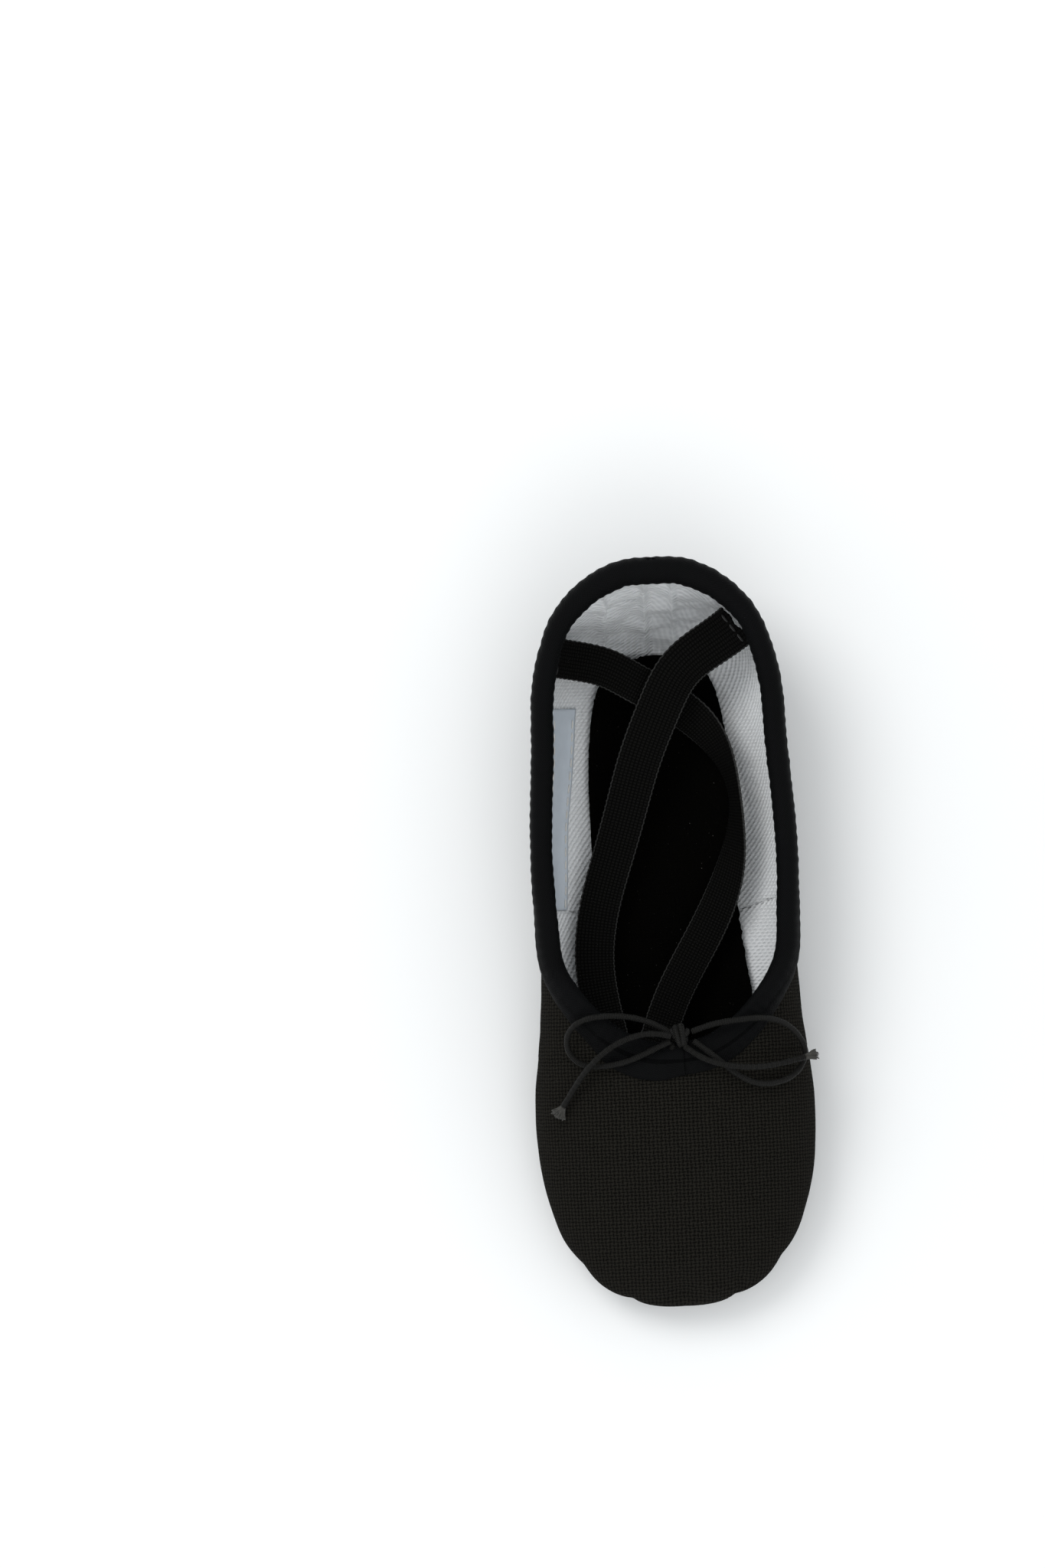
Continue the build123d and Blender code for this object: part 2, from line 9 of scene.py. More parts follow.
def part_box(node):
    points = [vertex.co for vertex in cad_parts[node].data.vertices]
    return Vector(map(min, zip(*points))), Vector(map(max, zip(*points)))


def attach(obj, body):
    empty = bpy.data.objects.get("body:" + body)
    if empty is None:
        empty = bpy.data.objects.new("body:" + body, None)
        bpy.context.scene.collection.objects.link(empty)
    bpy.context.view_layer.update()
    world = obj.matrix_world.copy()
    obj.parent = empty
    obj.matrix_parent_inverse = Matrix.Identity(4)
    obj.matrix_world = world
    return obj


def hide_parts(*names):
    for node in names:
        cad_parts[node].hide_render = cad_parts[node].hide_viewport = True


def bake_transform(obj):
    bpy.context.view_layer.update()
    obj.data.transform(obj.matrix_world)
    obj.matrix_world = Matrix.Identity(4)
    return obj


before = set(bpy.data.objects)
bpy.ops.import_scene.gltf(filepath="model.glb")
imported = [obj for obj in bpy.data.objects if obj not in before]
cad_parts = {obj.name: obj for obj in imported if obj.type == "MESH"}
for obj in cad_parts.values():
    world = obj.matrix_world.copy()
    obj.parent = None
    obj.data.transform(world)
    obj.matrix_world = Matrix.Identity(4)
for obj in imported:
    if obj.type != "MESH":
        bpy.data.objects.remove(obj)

# Shapes are in millimetres, which MM turns into metres. Materials, camera and lamps are in metres.
MM = 0.001
MIRROR = np.array([-1, 1, 1])
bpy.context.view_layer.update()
TOE_Y = float(round(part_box("vamp")[0][1] / MM))
HEEL_Y = float(round(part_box("topline_binding")[1][1] / MM))

# --- The slipper's shape, as in the CAD source ---
BALL_Y, BALL_HALF_WIDTH = -53.0, 43.0
HEEL_ROUND_Y, HEEL_HALF_WIDTH = 60.0, 37.0
PLAN_POWER = 2.35
CANVAS_BOTTOM, NOSE_Z = 1.4, 12.0
VAMP_TOP_Y, VAMP_TOP_Z = -32.0, 43.5
TOE_ROOF_POWER, TOE_SPRING_Y = 1.7, -80.0
HEEL_RISE_Y, HEEL_BACK_Z, HEEL_ROOF = 78.0, 50.0, 22.0
MID_WIDTH = [(BALL_Y, BALL_HALF_WIDTH), (-25, 40.2), (5, 39.0), (30, 38.9), (HEEL_ROUND_Y, HEEL_HALF_WIDTH)]
WIDEST_Z = [(-115, 12), (-90, 14), (-60, 17), (-32, 21.5), (-19, 25), (-3, 30), (20, 37), (50, 41)]
WIDEST_Z += [(85, 46), (115, 50)]
ROOF_Z = [(VAMP_TOP_Y, VAMP_TOP_Z), (-25, 45.5), (-19, 48), (-12, 52), (-3, 56), (20, 60), (HEEL_ROUND_Y, 64)]
TOPLINE_Z = [(-20, 40.6), (-12, 39.2), (-3, 38.2), (20, 38), (45, 39.4), (70, 43), (95, 48.2), (115, 51.5)]
LOW_POWER = [(-115, 2.2), (BALL_Y, 2.9), (20, 2.9), (70, 2.6), (115, 2.1)]
HIGH_POWER = [(-115, 2.0), (-32, 2.2), (20, 2.2), (115, 2.0)]
FRONT_RIM = [(0, -37.6), (9, -36.7), (17, -33), (24, -27), (30, -19.5), (35, -9)]

# --- Trimmings and folds. The label lies lower than in the CAD, and the straps and the tape are fuller ---
TAPE_SIDE, TAPE_FRONT = (4.4, 3.45), (5.1, 1.9)  # half height and half thickness of the binding
TAPE_INSET = 0.5
SUEDE, CORD_RADIUS, STITCH_PITCH = 1.6, 0.95, 4.0
# Outer and inner faces of each layer, below the canvas's outside.
CANVAS, LINING, LABEL = (0.0, 0.9), (1.2, 1.8), (3.0, 2.5)
PAD, SOCK = (2.95, 2.05), (4.5, 3.2)  # the upper and the lower face
LABEL_Y, LABEL_Z = (9, 71), (10, 24)
STRAP_WIDTHS = {"strap_over": (14.6, 11.8), "strap_under": (12.4, 11.2)}  # at the sewn end and at the toe end
STRAP_HALF_THICKNESS = 0.45
PLEAT_DEPTH, SEAM_RIDGE, PUCKER = 2.4, 1.6, 3.2


def clamp(value):
    return np.clip(value, 0, 1)


def smooth(table, y):
    """A smooth curve through the table's points, level beyond its ends."""
    if y <= table[0][0]:
        return table[0][1]
    if y >= table[-1][0]:
        return table[-1][1]
    i = max(k for k in range(len(table) - 1) if table[k][0] <= y)

    def slope(k):
        if k in (0, len(table) - 1):
            return 0.0
        before = (table[k][1] - table[k - 1][1]) / (table[k][0] - table[k - 1][0])
        after = (table[k + 1][1] - table[k][1]) / (table[k + 1][0] - table[k][0])
        return 0.0 if before * after <= 0 else 2 * before * after / (before + after)

    (y0, a), (y1, b) = table[i], table[i + 1]
    run = y1 - y0
    t = (y - y0) / run
    return (
        a * (1 + 2 * t) * (1 - t) ** 2
        + b * t * t * (3 - 2 * t)
        + slope(i) * run * t * (1 - t) ** 2
        - slope(i + 1) * run * t * t * (1 - t)
    )


def quarter(u, power):
    return max(0.0, 1 - min(1.0, max(0.0, u)) ** power) ** (1 / power)


def half_width(y):
    if y < BALL_Y:
        return BALL_HALF_WIDTH * quarter((BALL_Y - y) / (BALL_Y - TOE_Y), PLAN_POWER)
    if y > HEEL_ROUND_Y:
        return HEEL_HALF_WIDTH * quarter((y - HEEL_ROUND_Y) / (HEEL_Y - HEEL_ROUND_Y), PLAN_POWER)
    return smooth(MID_WIDTH, y)


def bottom(y):
    if y < TOE_SPRING_Y:
        return NOSE_Z - (NOSE_Z - CANVAS_BOTTOM) * quarter((TOE_SPRING_Y - y) / (TOE_SPRING_Y - TOE_Y), 2)
    if y > HEEL_RISE_Y:
        rise = quarter((y - HEEL_RISE_Y) / (HEEL_Y - HEEL_RISE_Y), 2)
        return HEEL_BACK_Z - (HEEL_BACK_Z - CANVAS_BOTTOM) * rise
    return CANVAS_BOTTOM


def top(y):
    if y < VAMP_TOP_Y:
        rise = quarter((VAMP_TOP_Y - y) / (VAMP_TOP_Y - TOE_Y), TOE_ROOF_POWER)
        return NOSE_Z + (VAMP_TOP_Z - NOSE_Z) * rise
    if y > HEEL_ROUND_Y:
        return smooth(WIDEST_Z, y) + HEEL_ROOF * (half_width(y) / HEEL_HALF_WIDTH) ** 0.5
    return smooth(ROOF_Z, y)


def stretch(profile, y):
    rise = (profile(y + 0.2) - profile(y - 0.2)) / 0.4
    return min(4.0, math.sqrt(1 + rise * rise))


def section_sizes(y, depth):
    w = max(0.2, half_width(y) - depth * stretch(half_width, y))
    middle = smooth(WIDEST_Z, y)
    low = min(middle - 0.8, bottom(y) + depth * stretch(bottom, y))
    high = max(middle + 0.8, top(y) - depth * stretch(top, y))
    return w, low, middle, high


def floor_at(x, y, depth=0.0):
    w, low, middle, _ = section_sizes(y, depth)
    return middle - (middle - low) * quarter(abs(x) / w, smooth(LOW_POWER, y))


def roof_at(x, y, depth=0.0):
    w, _, middle, high = section_sizes(y, depth)
    return middle + (high - middle) * quarter(abs(x) / w, smooth(HIGH_POWER, y))


class Skin:
    """One closed surface of the body, at a depth. Its points go by y and by their share of the way round,
    from the top's centre to the bottom's."""

    shares = np.linspace(0, 1, 161)

    def __init__(self, depth):
        turn = np.linspace(0, math.pi / 2, 90)
        mid, half = (HEEL_Y + TOE_Y) / 2, (HEEL_Y - TOE_Y) / 2 - 0.002
        self.ys = mid - half * np.cos(np.linspace(0, math.pi, 260))
        rows_x, rows_z, rows_u = [], [], []
        for y in self.ys:
            w, low, middle, high = section_sizes(y, depth)
            hp, lp = smooth(HIGH_POWER, y), smooth(LOW_POWER, y)
            a = turn[::-1]
            x = np.concatenate([w * np.cos(a) ** (2 / hp), (w * np.cos(turn) ** (2 / lp))[1:]])
            above = middle + (high - middle) * np.sin(a) ** (2 / hp)
            below = middle - (middle - low) * np.sin(turn) ** (2 / lp)
            z = np.concatenate([above, below[1:]])
            arc = np.concatenate([[0], np.cumsum(np.hypot(np.diff(x), np.diff(z)))])
            at = self.shares * arc[-1]
            rows_x.append(np.interp(at, arc, x))
            rows_z.append(np.interp(at, arc, z))
            rows_u.append(at)
        self.x, self.z, self.u = (np.array(rows) for rows in (rows_x, rows_z, rows_u))

    def at(self, y, share):
        """Points, and lengths around from the top, for arrays of y and share."""
        i = np.clip(np.searchsorted(self.ys, y) - 1, 0, len(self.ys) - 2)
        t = np.clip((y - self.ys[i]) / (self.ys[i + 1] - self.ys[i]), 0, 1)
        k = np.clip(share, 0, 1) * (len(self.shares) - 1)
        j = np.minimum(k.astype(int), len(self.shares) - 2)
        s = k - j

        def pick(table):
            low = table[i, j] * (1 - s) + table[i, j + 1] * s
            high = table[i + 1, j] * (1 - s) + table[i + 1, j + 1] * s
            return low * (1 - t) + high * t

        return np.stack([pick(self.x), y, pick(self.z)], -1), pick(self.u)


def rim_shares():
    """For each row of the middle skin, the share of the way round at which the topline stands."""
    skin = SKINS[0.9]
    found = []
    rim_x, rim_y = zip(*FRONT_RIM)
    for i, y in enumerate(skin.ys):
        if y <= rim_y[0]:
            found.append(0.0)
            continue
        by_height = np.interp(-smooth(TOPLINE_Z, y), -skin.z[i], skin.shares)
        if y >= -9:
            found.append(by_height)
            continue
        upper = int(np.argmax(skin.x[i]))
        by_width = np.interp(np.interp(y, rim_y, rim_x), skin.x[i][: upper + 1], skin.shares[: upper + 1])
        mix = min(1.0, max(0.0, (y + 19) / 10))
        found.append(by_width * (1 - mix) + by_height * mix)
    return np.array(found)


SKINS = {depth: Skin(depth) for depth in CANVAS + LINING}
RIM = rim_shares()


def rim_share(y):
    return np.interp(y, SKINS[0.9].ys, RIM)


def share_below_rim(y, s):
    """The share of the way round at s from 0, the topline, to 1, the bottom's centre."""
    return rim_share(y) + (1 - rim_share(y)) * s


def out_at(y, share):
    """Directions out of the body."""
    skin, step = SKINS[0.0], 0.4
    dy = skin.at(y + step, share)[0] - skin.at(y - step, share)[0]
    ds = skin.at(y, clamp(share + 0.01))[0] - skin.at(y, clamp(share - 0.01))[0]
    n = np.cross(ds, dy)
    n /= np.maximum(np.linalg.norm(n, axis=-1, keepdims=True), 1e-9)
    return n


# --- Meshes ---
def show(obj):
    bpy.context.scene.collection.objects.link(obj)


def new_mesh(name, points, faces, uvs=None):
    """An object from points in millimetres. uvs is one pair, in millimetres of cloth, for each point."""
    mesh = bpy.data.meshes.new(name)
    places = [tuple(float(v) * MM for v in p) for p in points]
    mesh.from_pydata(places, [], [tuple(int(i) for i in f) for f in faces])
    if uvs is not None:
        layer = mesh.uv_layers.new(name="cloth")
        loops = np.zeros(len(mesh.loops), int)
        mesh.loops.foreach_get("vertex_index", loops)
        layer.data.foreach_set("uv", (np.asarray(uvs, float)[loops] * MM).astype(np.float32).ravel())
    mesh.polygons.foreach_set("use_smooth", [True] * len(mesh.polygons))
    mesh.update()
    obj = bpy.data.objects.new(name, mesh)
    show(obj)
    return obj


def grid_faces(rows, cols, flip=False, close=False):
    i, j = np.meshgrid(np.arange(rows - 1), np.arange(cols if close else cols - 1), indexing="ij")
    a, b = i * cols + j, i * cols + (j + 1) % cols
    c, d = (i + 1) * cols + (j + 1) % cols, (i + 1) * cols + j
    return np.stack([a, d, c, b] if flip else [a, b, c, d], -1).reshape(-1, 4)


def border(rows, cols):
    """Pairs of neighbours round the edge of a grid of points."""
    ring = list(range(cols)) + [r * cols + cols - 1 for r in range(1, rows)]
    ring += [(rows - 1) * cols + k for k in range(cols - 2, -1, -1)]
    ring += [r * cols for r in range(rows - 2, 0, -1)]
    return zip(ring, ring[1:] + ring[:1])


def sheet_faces(rows, cols):
    """Faces of two grids of points, closed round their edge."""
    second = rows * cols
    faces = [*grid_faces(rows, cols), *(grid_faces(rows, cols, flip=True) + second)]
    return faces + [(a, second + a, second + b, b) for a, b in border(rows, cols)]


def edit_mesh(obj, change):
    work = bmesh.new()
    work.from_mesh(obj.data)
    change(work)
    work.to_mesh(obj.data)
    work.free()


def face_outwards(work):
    bmesh.ops.recalc_face_normals(work, faces=work.faces)


def shell(name, y_of, rows, cols, depths, bump):
    """Both halves of a layer, as an outer and an inner sheet closed round their edges.
    bump gives how far points at (x, y, z) stand out of the plain layer."""
    v, s = np.meshgrid(np.linspace(0, 1, rows), np.linspace(0, 1, cols), indexing="ij")
    y = y_of(v, s)
    share = share_below_rim(y, s)
    n = out_at(y, share)
    points, uvs, faces, start = [], [], [], 0
    for side in (1, -1):
        for depth, turned in zip(depths, (False, True)):
            p, u = SKINS[depth].at(y, share)
            p = p * [side, 1, 1]
            normal = n * [side, 1, 1]
            p = p + normal * bump(p)[..., None]
            p[..., 0] = np.where((share <= 0) | (share >= 1), 0.0, p[..., 0])
            points.append(p.reshape(-1, 3))
            uvs.append(np.stack([side * u, y], -1).reshape(-1, 2))
            faces.append(grid_faces(rows, cols, flip=(turned == (side > 0))) + start)
            start += rows * cols
        base_outer, base_inner = start - 2 * rows * cols, start - rows * cols
        for a, b in border(rows, cols):
            quad = (base_outer + a, base_inner + a, base_inner + b, base_outer + b)
            faces.append(np.array([quad if side > 0 else quad[::-1]]))
    obj = new_mesh(name, np.concatenate(points), np.concatenate(faces), np.concatenate(uvs))

    def join_halves(work):
        bmesh.ops.remove_doubles(work, verts=work.verts, dist=0.00002)
        middle = [f for f in work.faces if f.is_valid and all(abs(v.co.x) < 1e-6 for v in f.verts)]
        bmesh.ops.delete(work, geom=middle, context="FACES_ONLY")

    edit_mesh(obj, join_halves)
    return obj


def split(obj, name, inside):
    """Moves the faces whose middle is inside() into a new object of that name."""
    other = obj.copy()
    other.data = obj.data.copy()
    other.name = other.data.name = name
    show(other)

    def cut(piece, keep):
        def change(work):
            gone = [f for f in work.faces if inside(f.calc_center_median() / MM) != keep]
            bmesh.ops.delete(work, geom=gone, context="FACES")

        edit_mesh(piece, change)

    cut(obj, False)
    cut(other, True)
    return other


def wave(p, size, seed=0.0):
    """Smooth noise from -1 to 1 at each point, over that size in millimetres."""
    flat = p.reshape(-1, 3) / size + seed
    return np.array([noise.noise(Vector(q)) for q in flat]).reshape(p.shape[:-1])


def lump(*at):
    """Smooth noise from -1 to 1 at one place."""
    return noise.noise(Vector(at))


def bell(distance, width):
    return np.exp(-((distance / width) ** 2))


# --- Materials ---
class Shader:
    """A node material, built by short calls. A value is a number, a colour of three numbers, or a socket."""

    def __init__(self, name):
        self.material = bpy.data.materials.new(name)
        self.material.use_nodes = True
        self.tree = self.material.node_tree
        self.bsdf = self.tree.nodes["Principled BSDF"]
        self.uv = self.add("ShaderNodeUVMap")
        self.uv.uv_map = "cloth"
        self.place = self.add("ShaderNodeTexCoord").outputs["Object"]

    def add(self, kind, **inputs):
        node = self.tree.nodes.new(kind)
        for key, value in inputs.items():
            self.set(node.inputs[key.replace("_", " ")], value)
        return node

    def set(self, socket, value):
        if isinstance(value, bpy.types.NodeSocket):
            self.tree.links.new(value, socket)
        elif isinstance(value, tuple):
            socket.default_value = (*value, 1)
        else:
            socket.default_value = value

    def math(self, operation, a, b=0.0, c=0.0, clamp=False):
        node = self.add("ShaderNodeMath")
        node.operation = operation
        node.use_clamp = clamp
        for socket, value in zip(node.inputs, (a, b, c)):
            self.set(socket, value)
        return node.outputs[0]

    def times(self, a, b):
        return self.math("MULTIPLY", a, b)

    def plus(self, a, b):
        return self.math("ADD", a, b)

    def swing(self, angle):
        """The sine of the angle, brought from 0 to 1."""
        return self.math("MULTIPLY_ADD", self.math("SINE", angle), 0.5, 0.5)

    def ridge(self, length, pitch):
        """Rounded ridges that far apart, from 0 to 1."""
        return self.math("ABSOLUTE", self.math("SINE", self.times(length, math.pi / pitch)))

    def mix(self, share, a, b):
        node = self.add("ShaderNodeMix")
        node.data_type = "RGBA"
        self.set(node.inputs["Factor"], share)
        self.set(node.inputs["A"], a)
        self.set(node.inputs["B"], b)
        return node.outputs["Result"]

    def split_uv(self):
        node = self.add("ShaderNodeSeparateXYZ")
        self.set(node.inputs[0], self.uv.outputs[0])
        return node.outputs[0], node.outputs[1]

    def noise(self, scale, detail=3.0, rough=0.55, at=None):
        node = self.add("ShaderNodeTexNoise", Scale=scale, Detail=detail, Roughness=rough)
        self.set(node.inputs["Vector"], at if at is not None else self.place)
        return node.outputs["Fac"]

    def ramp(self, value, low, high):
        node = self.add("ShaderNodeMapRange", From_Min=low, From_Max=high)
        self.set(node.inputs["Value"], value)
        return node.outputs["Result"]

    def bump(self, *layers):
        """Each layer is (height from 0 to 1, depth in metres)."""
        normal = None
        for height, depth in layers:
            node = self.add("ShaderNodeBump", Strength=1.0, Distance=depth, Height=height)
            if normal is not None:
                self.set(node.inputs["Normal"], normal)
            normal = node.outputs["Normal"]
        self.set(self.bsdf.inputs["Normal"], normal)

    def done(self, color, rough, sheen=0.0, sheen_tint=(1, 1, 1), specular=0.5):
        self.set(self.bsdf.inputs["Base Color"], color)
        self.set(self.bsdf.inputs["Roughness"], rough)
        self.set(self.bsdf.inputs["Specular IOR Level"], specular)
        self.set(self.bsdf.inputs["Sheen Weight"], sheen)
        self.set(self.bsdf.inputs["Sheen Roughness"], 0.5)
        self.set(self.bsdf.inputs["Sheen Tint"], sheen_tint)
        return self.material


def weave(s, pitch_u, pitch_v):
    """A plain weave's height: warp and weft ribs that pass over each other in turn."""
    u, v = s.split_uv()
    shift = s.times(s.math("SUBTRACT", s.noise(500.0, 3.0), 0.5), 0.00096)
    ribs, crossings = [], []
    for way, pitch in ((u, pitch_u), (v, pitch_v)):
        way = s.plus(way, shift)
        ribs.append(s.ridge(way, pitch))
        crossings.append(s.math("SINE", s.plus(s.times(way, math.pi / pitch), math.pi / 2)))
    over = s.math("MULTIPLY_ADD", s.times(*crossings), 0.5, 0.5)
    a = s.times(ribs[0], over)
    b = s.times(ribs[1], s.math("SUBTRACT", 1.0, over))
    return s.math("ADD", a, b, clamp=True)


def twill(s, pitch, slope, wander):
    """A diagonal rib's height."""
    u, v = s.split_uv()
    shift = s.times(s.math("SUBTRACT", s.noise(400.0, 2.0), 0.5), wander)
    across = s.plus(s.plus(u, s.times(v, slope)), shift)
    rib = s.swing(s.times(across, 2 * math.pi / pitch))
    thread = s.swing(s.times(v, 2 * math.pi / (pitch * 0.55)))
    return s.math("MULTIPLY_ADD", thread, 0.35, s.times(rib, 0.65))


def lint(s, amount):
    """Specks of light lint, from 0 to 1."""
    return s.ramp(s.noise(1500.0, 2.0, 0.5), amount, amount + 0.03)


def canvas_material():
    s = Shader("canvas")
    height = weave(s, 0.00125, 0.0011)
    mottle = s.noise(180.0, 4.0, 0.65)
    base = s.mix(s.ramp(mottle, 0.3, 0.75), (0.0012, 0.0011, 0.0009), (0.0040, 0.0037, 0.0030))
    # The weave's raised threads are painted lighter than the hollows between them: painted shade in the
    # hollows of the weave.
    base = s.mix(s.times(s.math("POWER", height, 1.6), 0.8), base, (0.0200, 0.0186, 0.0152))
    base = s.mix(lint(s, 0.775), base, (0.10, 0.095, 0.085))
    s.bump((height, 0.00045), (s.noise(2600.0, 2.0), 0.00012), (s.noise(60.0, 3.0), 0.0006))
    return s.done(base, 0.92, sheen=0.008, sheen_tint=(0.75, 0.72, 0.68), specular=0.02)


def binding_material():
    s = Shader("binding_tape")
    height = twill(s, 0.00075, 1.0, 0.0001)
    # The twill's raised ribs are painted lighter than the grooves between them: painted shade in the grooves.
    base = s.mix(s.times(height, 0.6), (0.0005, 0.0005, 0.0006), (0.0052, 0.0055, 0.0058))
    base = s.mix(s.ramp(s.noise(90.0, 3.0), 0.3, 0.8), base, (0.0020, 0.0022, 0.0025))
    base = s.mix(lint(s, 0.79), base, (0.06, 0.06, 0.06))
    s.bump((height, 0.00014), (s.noise(120.0, 3.0), 0.0006))
    return s.done(base, 0.6, sheen=0.003, sheen_tint=(0.9, 0.95, 1), specular=0.05)


def lining_material():
    s = Shader("lining")
    height = twill(s, 0.0019, 0.9, 0.0003)
    # The twill's raised ribs are painted lighter than the grooves between them: painted shade in the grooves.
    base = s.mix(height, (0.76, 0.775, 0.785), (0.93, 0.945, 0.95))
    base = s.mix(s.times(s.ramp(s.noise(70.0, 4.0), 0.45, 0.8), 0.25), base, (0.70, 0.70, 0.68))
    s.bump((height, 0.00035), (s.noise(1500.0, 2.0), 0.00005), (s.noise(45.0, 3.0), 0.0008))
    return s.done(base, 0.85, sheen=0.15, specular=0.2)


def insole_material():
    s = Shader("insole_cloth")
    nap = s.noise(1900.0, 4.0, 0.7)
    base = s.mix(nap, (0.0004, 0.0004, 0.0003), (0.0028, 0.0026, 0.0022))
    base = s.mix(lint(s, 0.75), base, (0.08, 0.075, 0.07))
    s.bump((nap, 0.0004), (weave(s, 0.0011, 0.0011), 0.00015))
    return s.done(base, 0.97, specular=0.008)


def suede_material():
    s = Shader("suede")
    nap = s.noise(1400.0, 5.0, 0.7)
    cloud = s.noise(55.0, 4.0, 0.6)
    base = s.mix(cloud, (0.60, 0.585, 0.55), (0.82, 0.81, 0.78))
    base = s.mix(s.times(nap, 0.3), base, (0.5, 0.48, 0.44))
    s.bump((nap, 0.00018), (cloud, 0.0005))
    return s.done(base, 0.95, sheen=0.4, specular=0.15)


def elastic_material():
    s = Shader("elastic")
    u, v = s.split_uv()
    rib, pick = s.ridge(u, 0.0012), s.ridge(v, 0.00095)
    height = s.times(s.math("POWER", rib, 0.5), s.math("MULTIPLY_ADD", pick, 0.6, 0.4))
    # The raised ribs and loops of the knit are painted lighter than the hollows between them: painted shade
    # in the hollows.
    base = s.mix(height, (0.0006, 0.0006, 0.0005), (0.0062, 0.0060, 0.0055))
    edge = s.ramp(s.math("ABSOLUTE", u), 0.0061, 0.0064)
    base = s.mix(s.times(edge, 0.6), base, (0.055, 0.055, 0.053))
    s.bump((height, 0.0006))
    return s.done(base, 0.7, specular=0.035)


def cord_material():
    s = Shader("cord")
    u, v = s.split_uv()
    coil = s.plus(s.times(v, 2 * math.pi / 0.00042), s.times(u, 2 * math.pi / 0.006))
    height = s.swing(coil)
    # The raised turns of the winding are painted lighter than the grooves between them: painted shade in the
    # grooves.
    base = s.mix(height, (0.0018, 0.0018, 0.0016), (0.0150, 0.0146, 0.0130))
    s.bump((height, 0.0002))
    return s.done(base, 0.5, sheen=0.004, specular=0.12)


def plain_material(name, dark, light, scale, rough, sheen):
    s = Shader(name)
    grain = s.noise(scale, 4.0, 0.65)
    s.bump((grain, 0.0001))
    return s.done(s.mix(grain, dark, light), rough, sheen=sheen, specular=0.2)


MATERIALS = {
    "canvas": canvas_material(),
    "binding_tape": binding_material(),
    "lining": lining_material(),
    "insole_cloth": insole_material(),
    "suede": suede_material(),
    "elastic": elastic_material(),
    "cord": cord_material(),
}
# Dark and light colour, scale of the grain, roughness and sheen.
PLAIN = {
    "fibre": ((0.006, 0.006, 0.0055), (0.075, 0.072, 0.062), 1500.0, 0.7, 0.2),
    "white_thread": ((0.55, 0.53, 0.49), (0.83, 0.82, 0.79), 3000.0, 0.7, 0.2),
    "black_thread": ((0.002, 0.002, 0.002), (0.012, 0.012, 0.012), 3000.0, 0.6, 0.2),
    "padding": ((0.4, 0.38, 0.34), (0.62, 0.6, 0.55), 900.0, 0.95, 0.2),
    "label_satin": ((0.56, 0.62, 0.68), (0.68, 0.74, 0.80), 220.0, 0.38, 0.1),
}
MATERIALS.update({name: plain_material(name, *values) for name, values in PLAIN.items()})


def finish(obj, slot, node, body=None, material=None):
    """The piece's material, the CAD node it stands for, and the body it moves with. Without a body, its
    placement is baked into its mesh."""
    obj.data.materials.clear()
    obj.data.materials.append(MATERIALS[material or slot])
    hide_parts(node)
    if body:
        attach(obj, body)
    else:
        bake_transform(obj)


# --- Camera, light and floor ---
CAMERA_HEIGHT, FOCUS_Z, VIEW_HEIGHT = 3.0, 0.040, 0.4790  # metres
VIEW_TURN = math.radians(2.746)
VIEW_RIGHT, VIEW_UP = -0.0445, 0.0462
# Place, size and power of each lamp.
LAMPS = [((-0.7, 0.8, 1.4), 0.9, 9.0), ((0.2, -1.0, 1.5), 1.2, 3.0)]
FLOOR_HALF = 4000


def camera_and_light():
    """A camera straight above, turned a little. The slipper is right of and below the view's middle."""
    c, s = math.cos(VIEW_TURN), math.sin(VIEW_TURN)
    right, up = Vector((c, -s, 0)), Vector((s, c, 0))
    data = bpy.data.cameras.new("camera")
    data.sensor_fit = "VERTICAL"
    data.sensor_height = 36
    data.lens = 36 * CAMERA_HEIGHT / VIEW_HEIGHT
    camera = bpy.data.objects.new("camera", data)
    camera.location = right * VIEW_RIGHT + up * VIEW_UP + Vector((0, 0, FOCUS_Z + CAMERA_HEIGHT))
    camera.rotation_euler = (0, 0, -VIEW_TURN)
    show(camera)
    bpy.context.scene.camera = camera
    bpy.context.scene.view_settings.view_transform = "Standard"

    for k, (place, size, power) in enumerate(LAMPS):
        lamp = bpy.data.lights.new(f"soft_{k}", "AREA")
        lamp.shape, lamp.size, lamp.energy = "DISK", size, power
        obj = bpy.data.objects.new(f"soft_{k}", lamp)
        obj.location = place
        obj.rotation_euler = (Vector((0, 0, 0)) - Vector(place)).to_track_quat("-Z", "Y").to_euler()
        show(obj)
    world = bpy.data.worlds.new("studio")
    world.use_nodes = True
    sky = world.node_tree.nodes["Background"].inputs
    sky["Color"].default_value = (0.96, 0.98, 1.0, 1)
    sky["Strength"].default_value = 0.86
    bpy.context.scene.world = world

    corners = [(x * FLOOR_HALF, y * FLOOR_HALF, 0) for x, y in ((-1, -1), (1, -1), (1, 1), (-1, 1))]
    floor = new_mesh("floor", corners, [(0, 1, 2, 3)])
    paper = Shader("paper")
    tone = paper.noise(4.0, 2.0)
    white = paper.mix(tone, (0.93, 0.94, 0.935), (0.95, 0.955, 0.95))
    floor.data.materials.append(paper.done(white, 0.9))


camera_and_light()


# --- The upper ---
def seam_y(x):
    return 3 + 15 * np.minimum(1.5, np.abs(x) / 60) ** 1.585


def seam_end(s):
    """The y at which each column of the vamp or of the rear reaches the seam between them."""
    y = np.full(s.shape, 6.0)
    for _ in range(4):
        share = share_below_rim(y, s)
        p, _ = SKINS[0.0].at(y, share)
        y = seam_y(p[..., 0])
    return y


def vamp_y(v, s):
    return TOE_Y + 0.003 + (seam_end(s) - 0.04 - TOE_Y) * (1 - np.cos(v * math.pi / 2))


def rear_y(v, s):
    start = seam_end(s) + 0.04
    return start + (HEEL_Y - 0.003 - start) * np.sin(v * math.pi / 2)


# x, y, size and depth of the dents at the tip of the toe. The last stands out.
TOE_DENTS = [(-0.5, -109.9, 4.0, 1.1), (17.3, -107.2, 3.2, 1.0), (9.0, -110.2, 3.0, -0.6)]


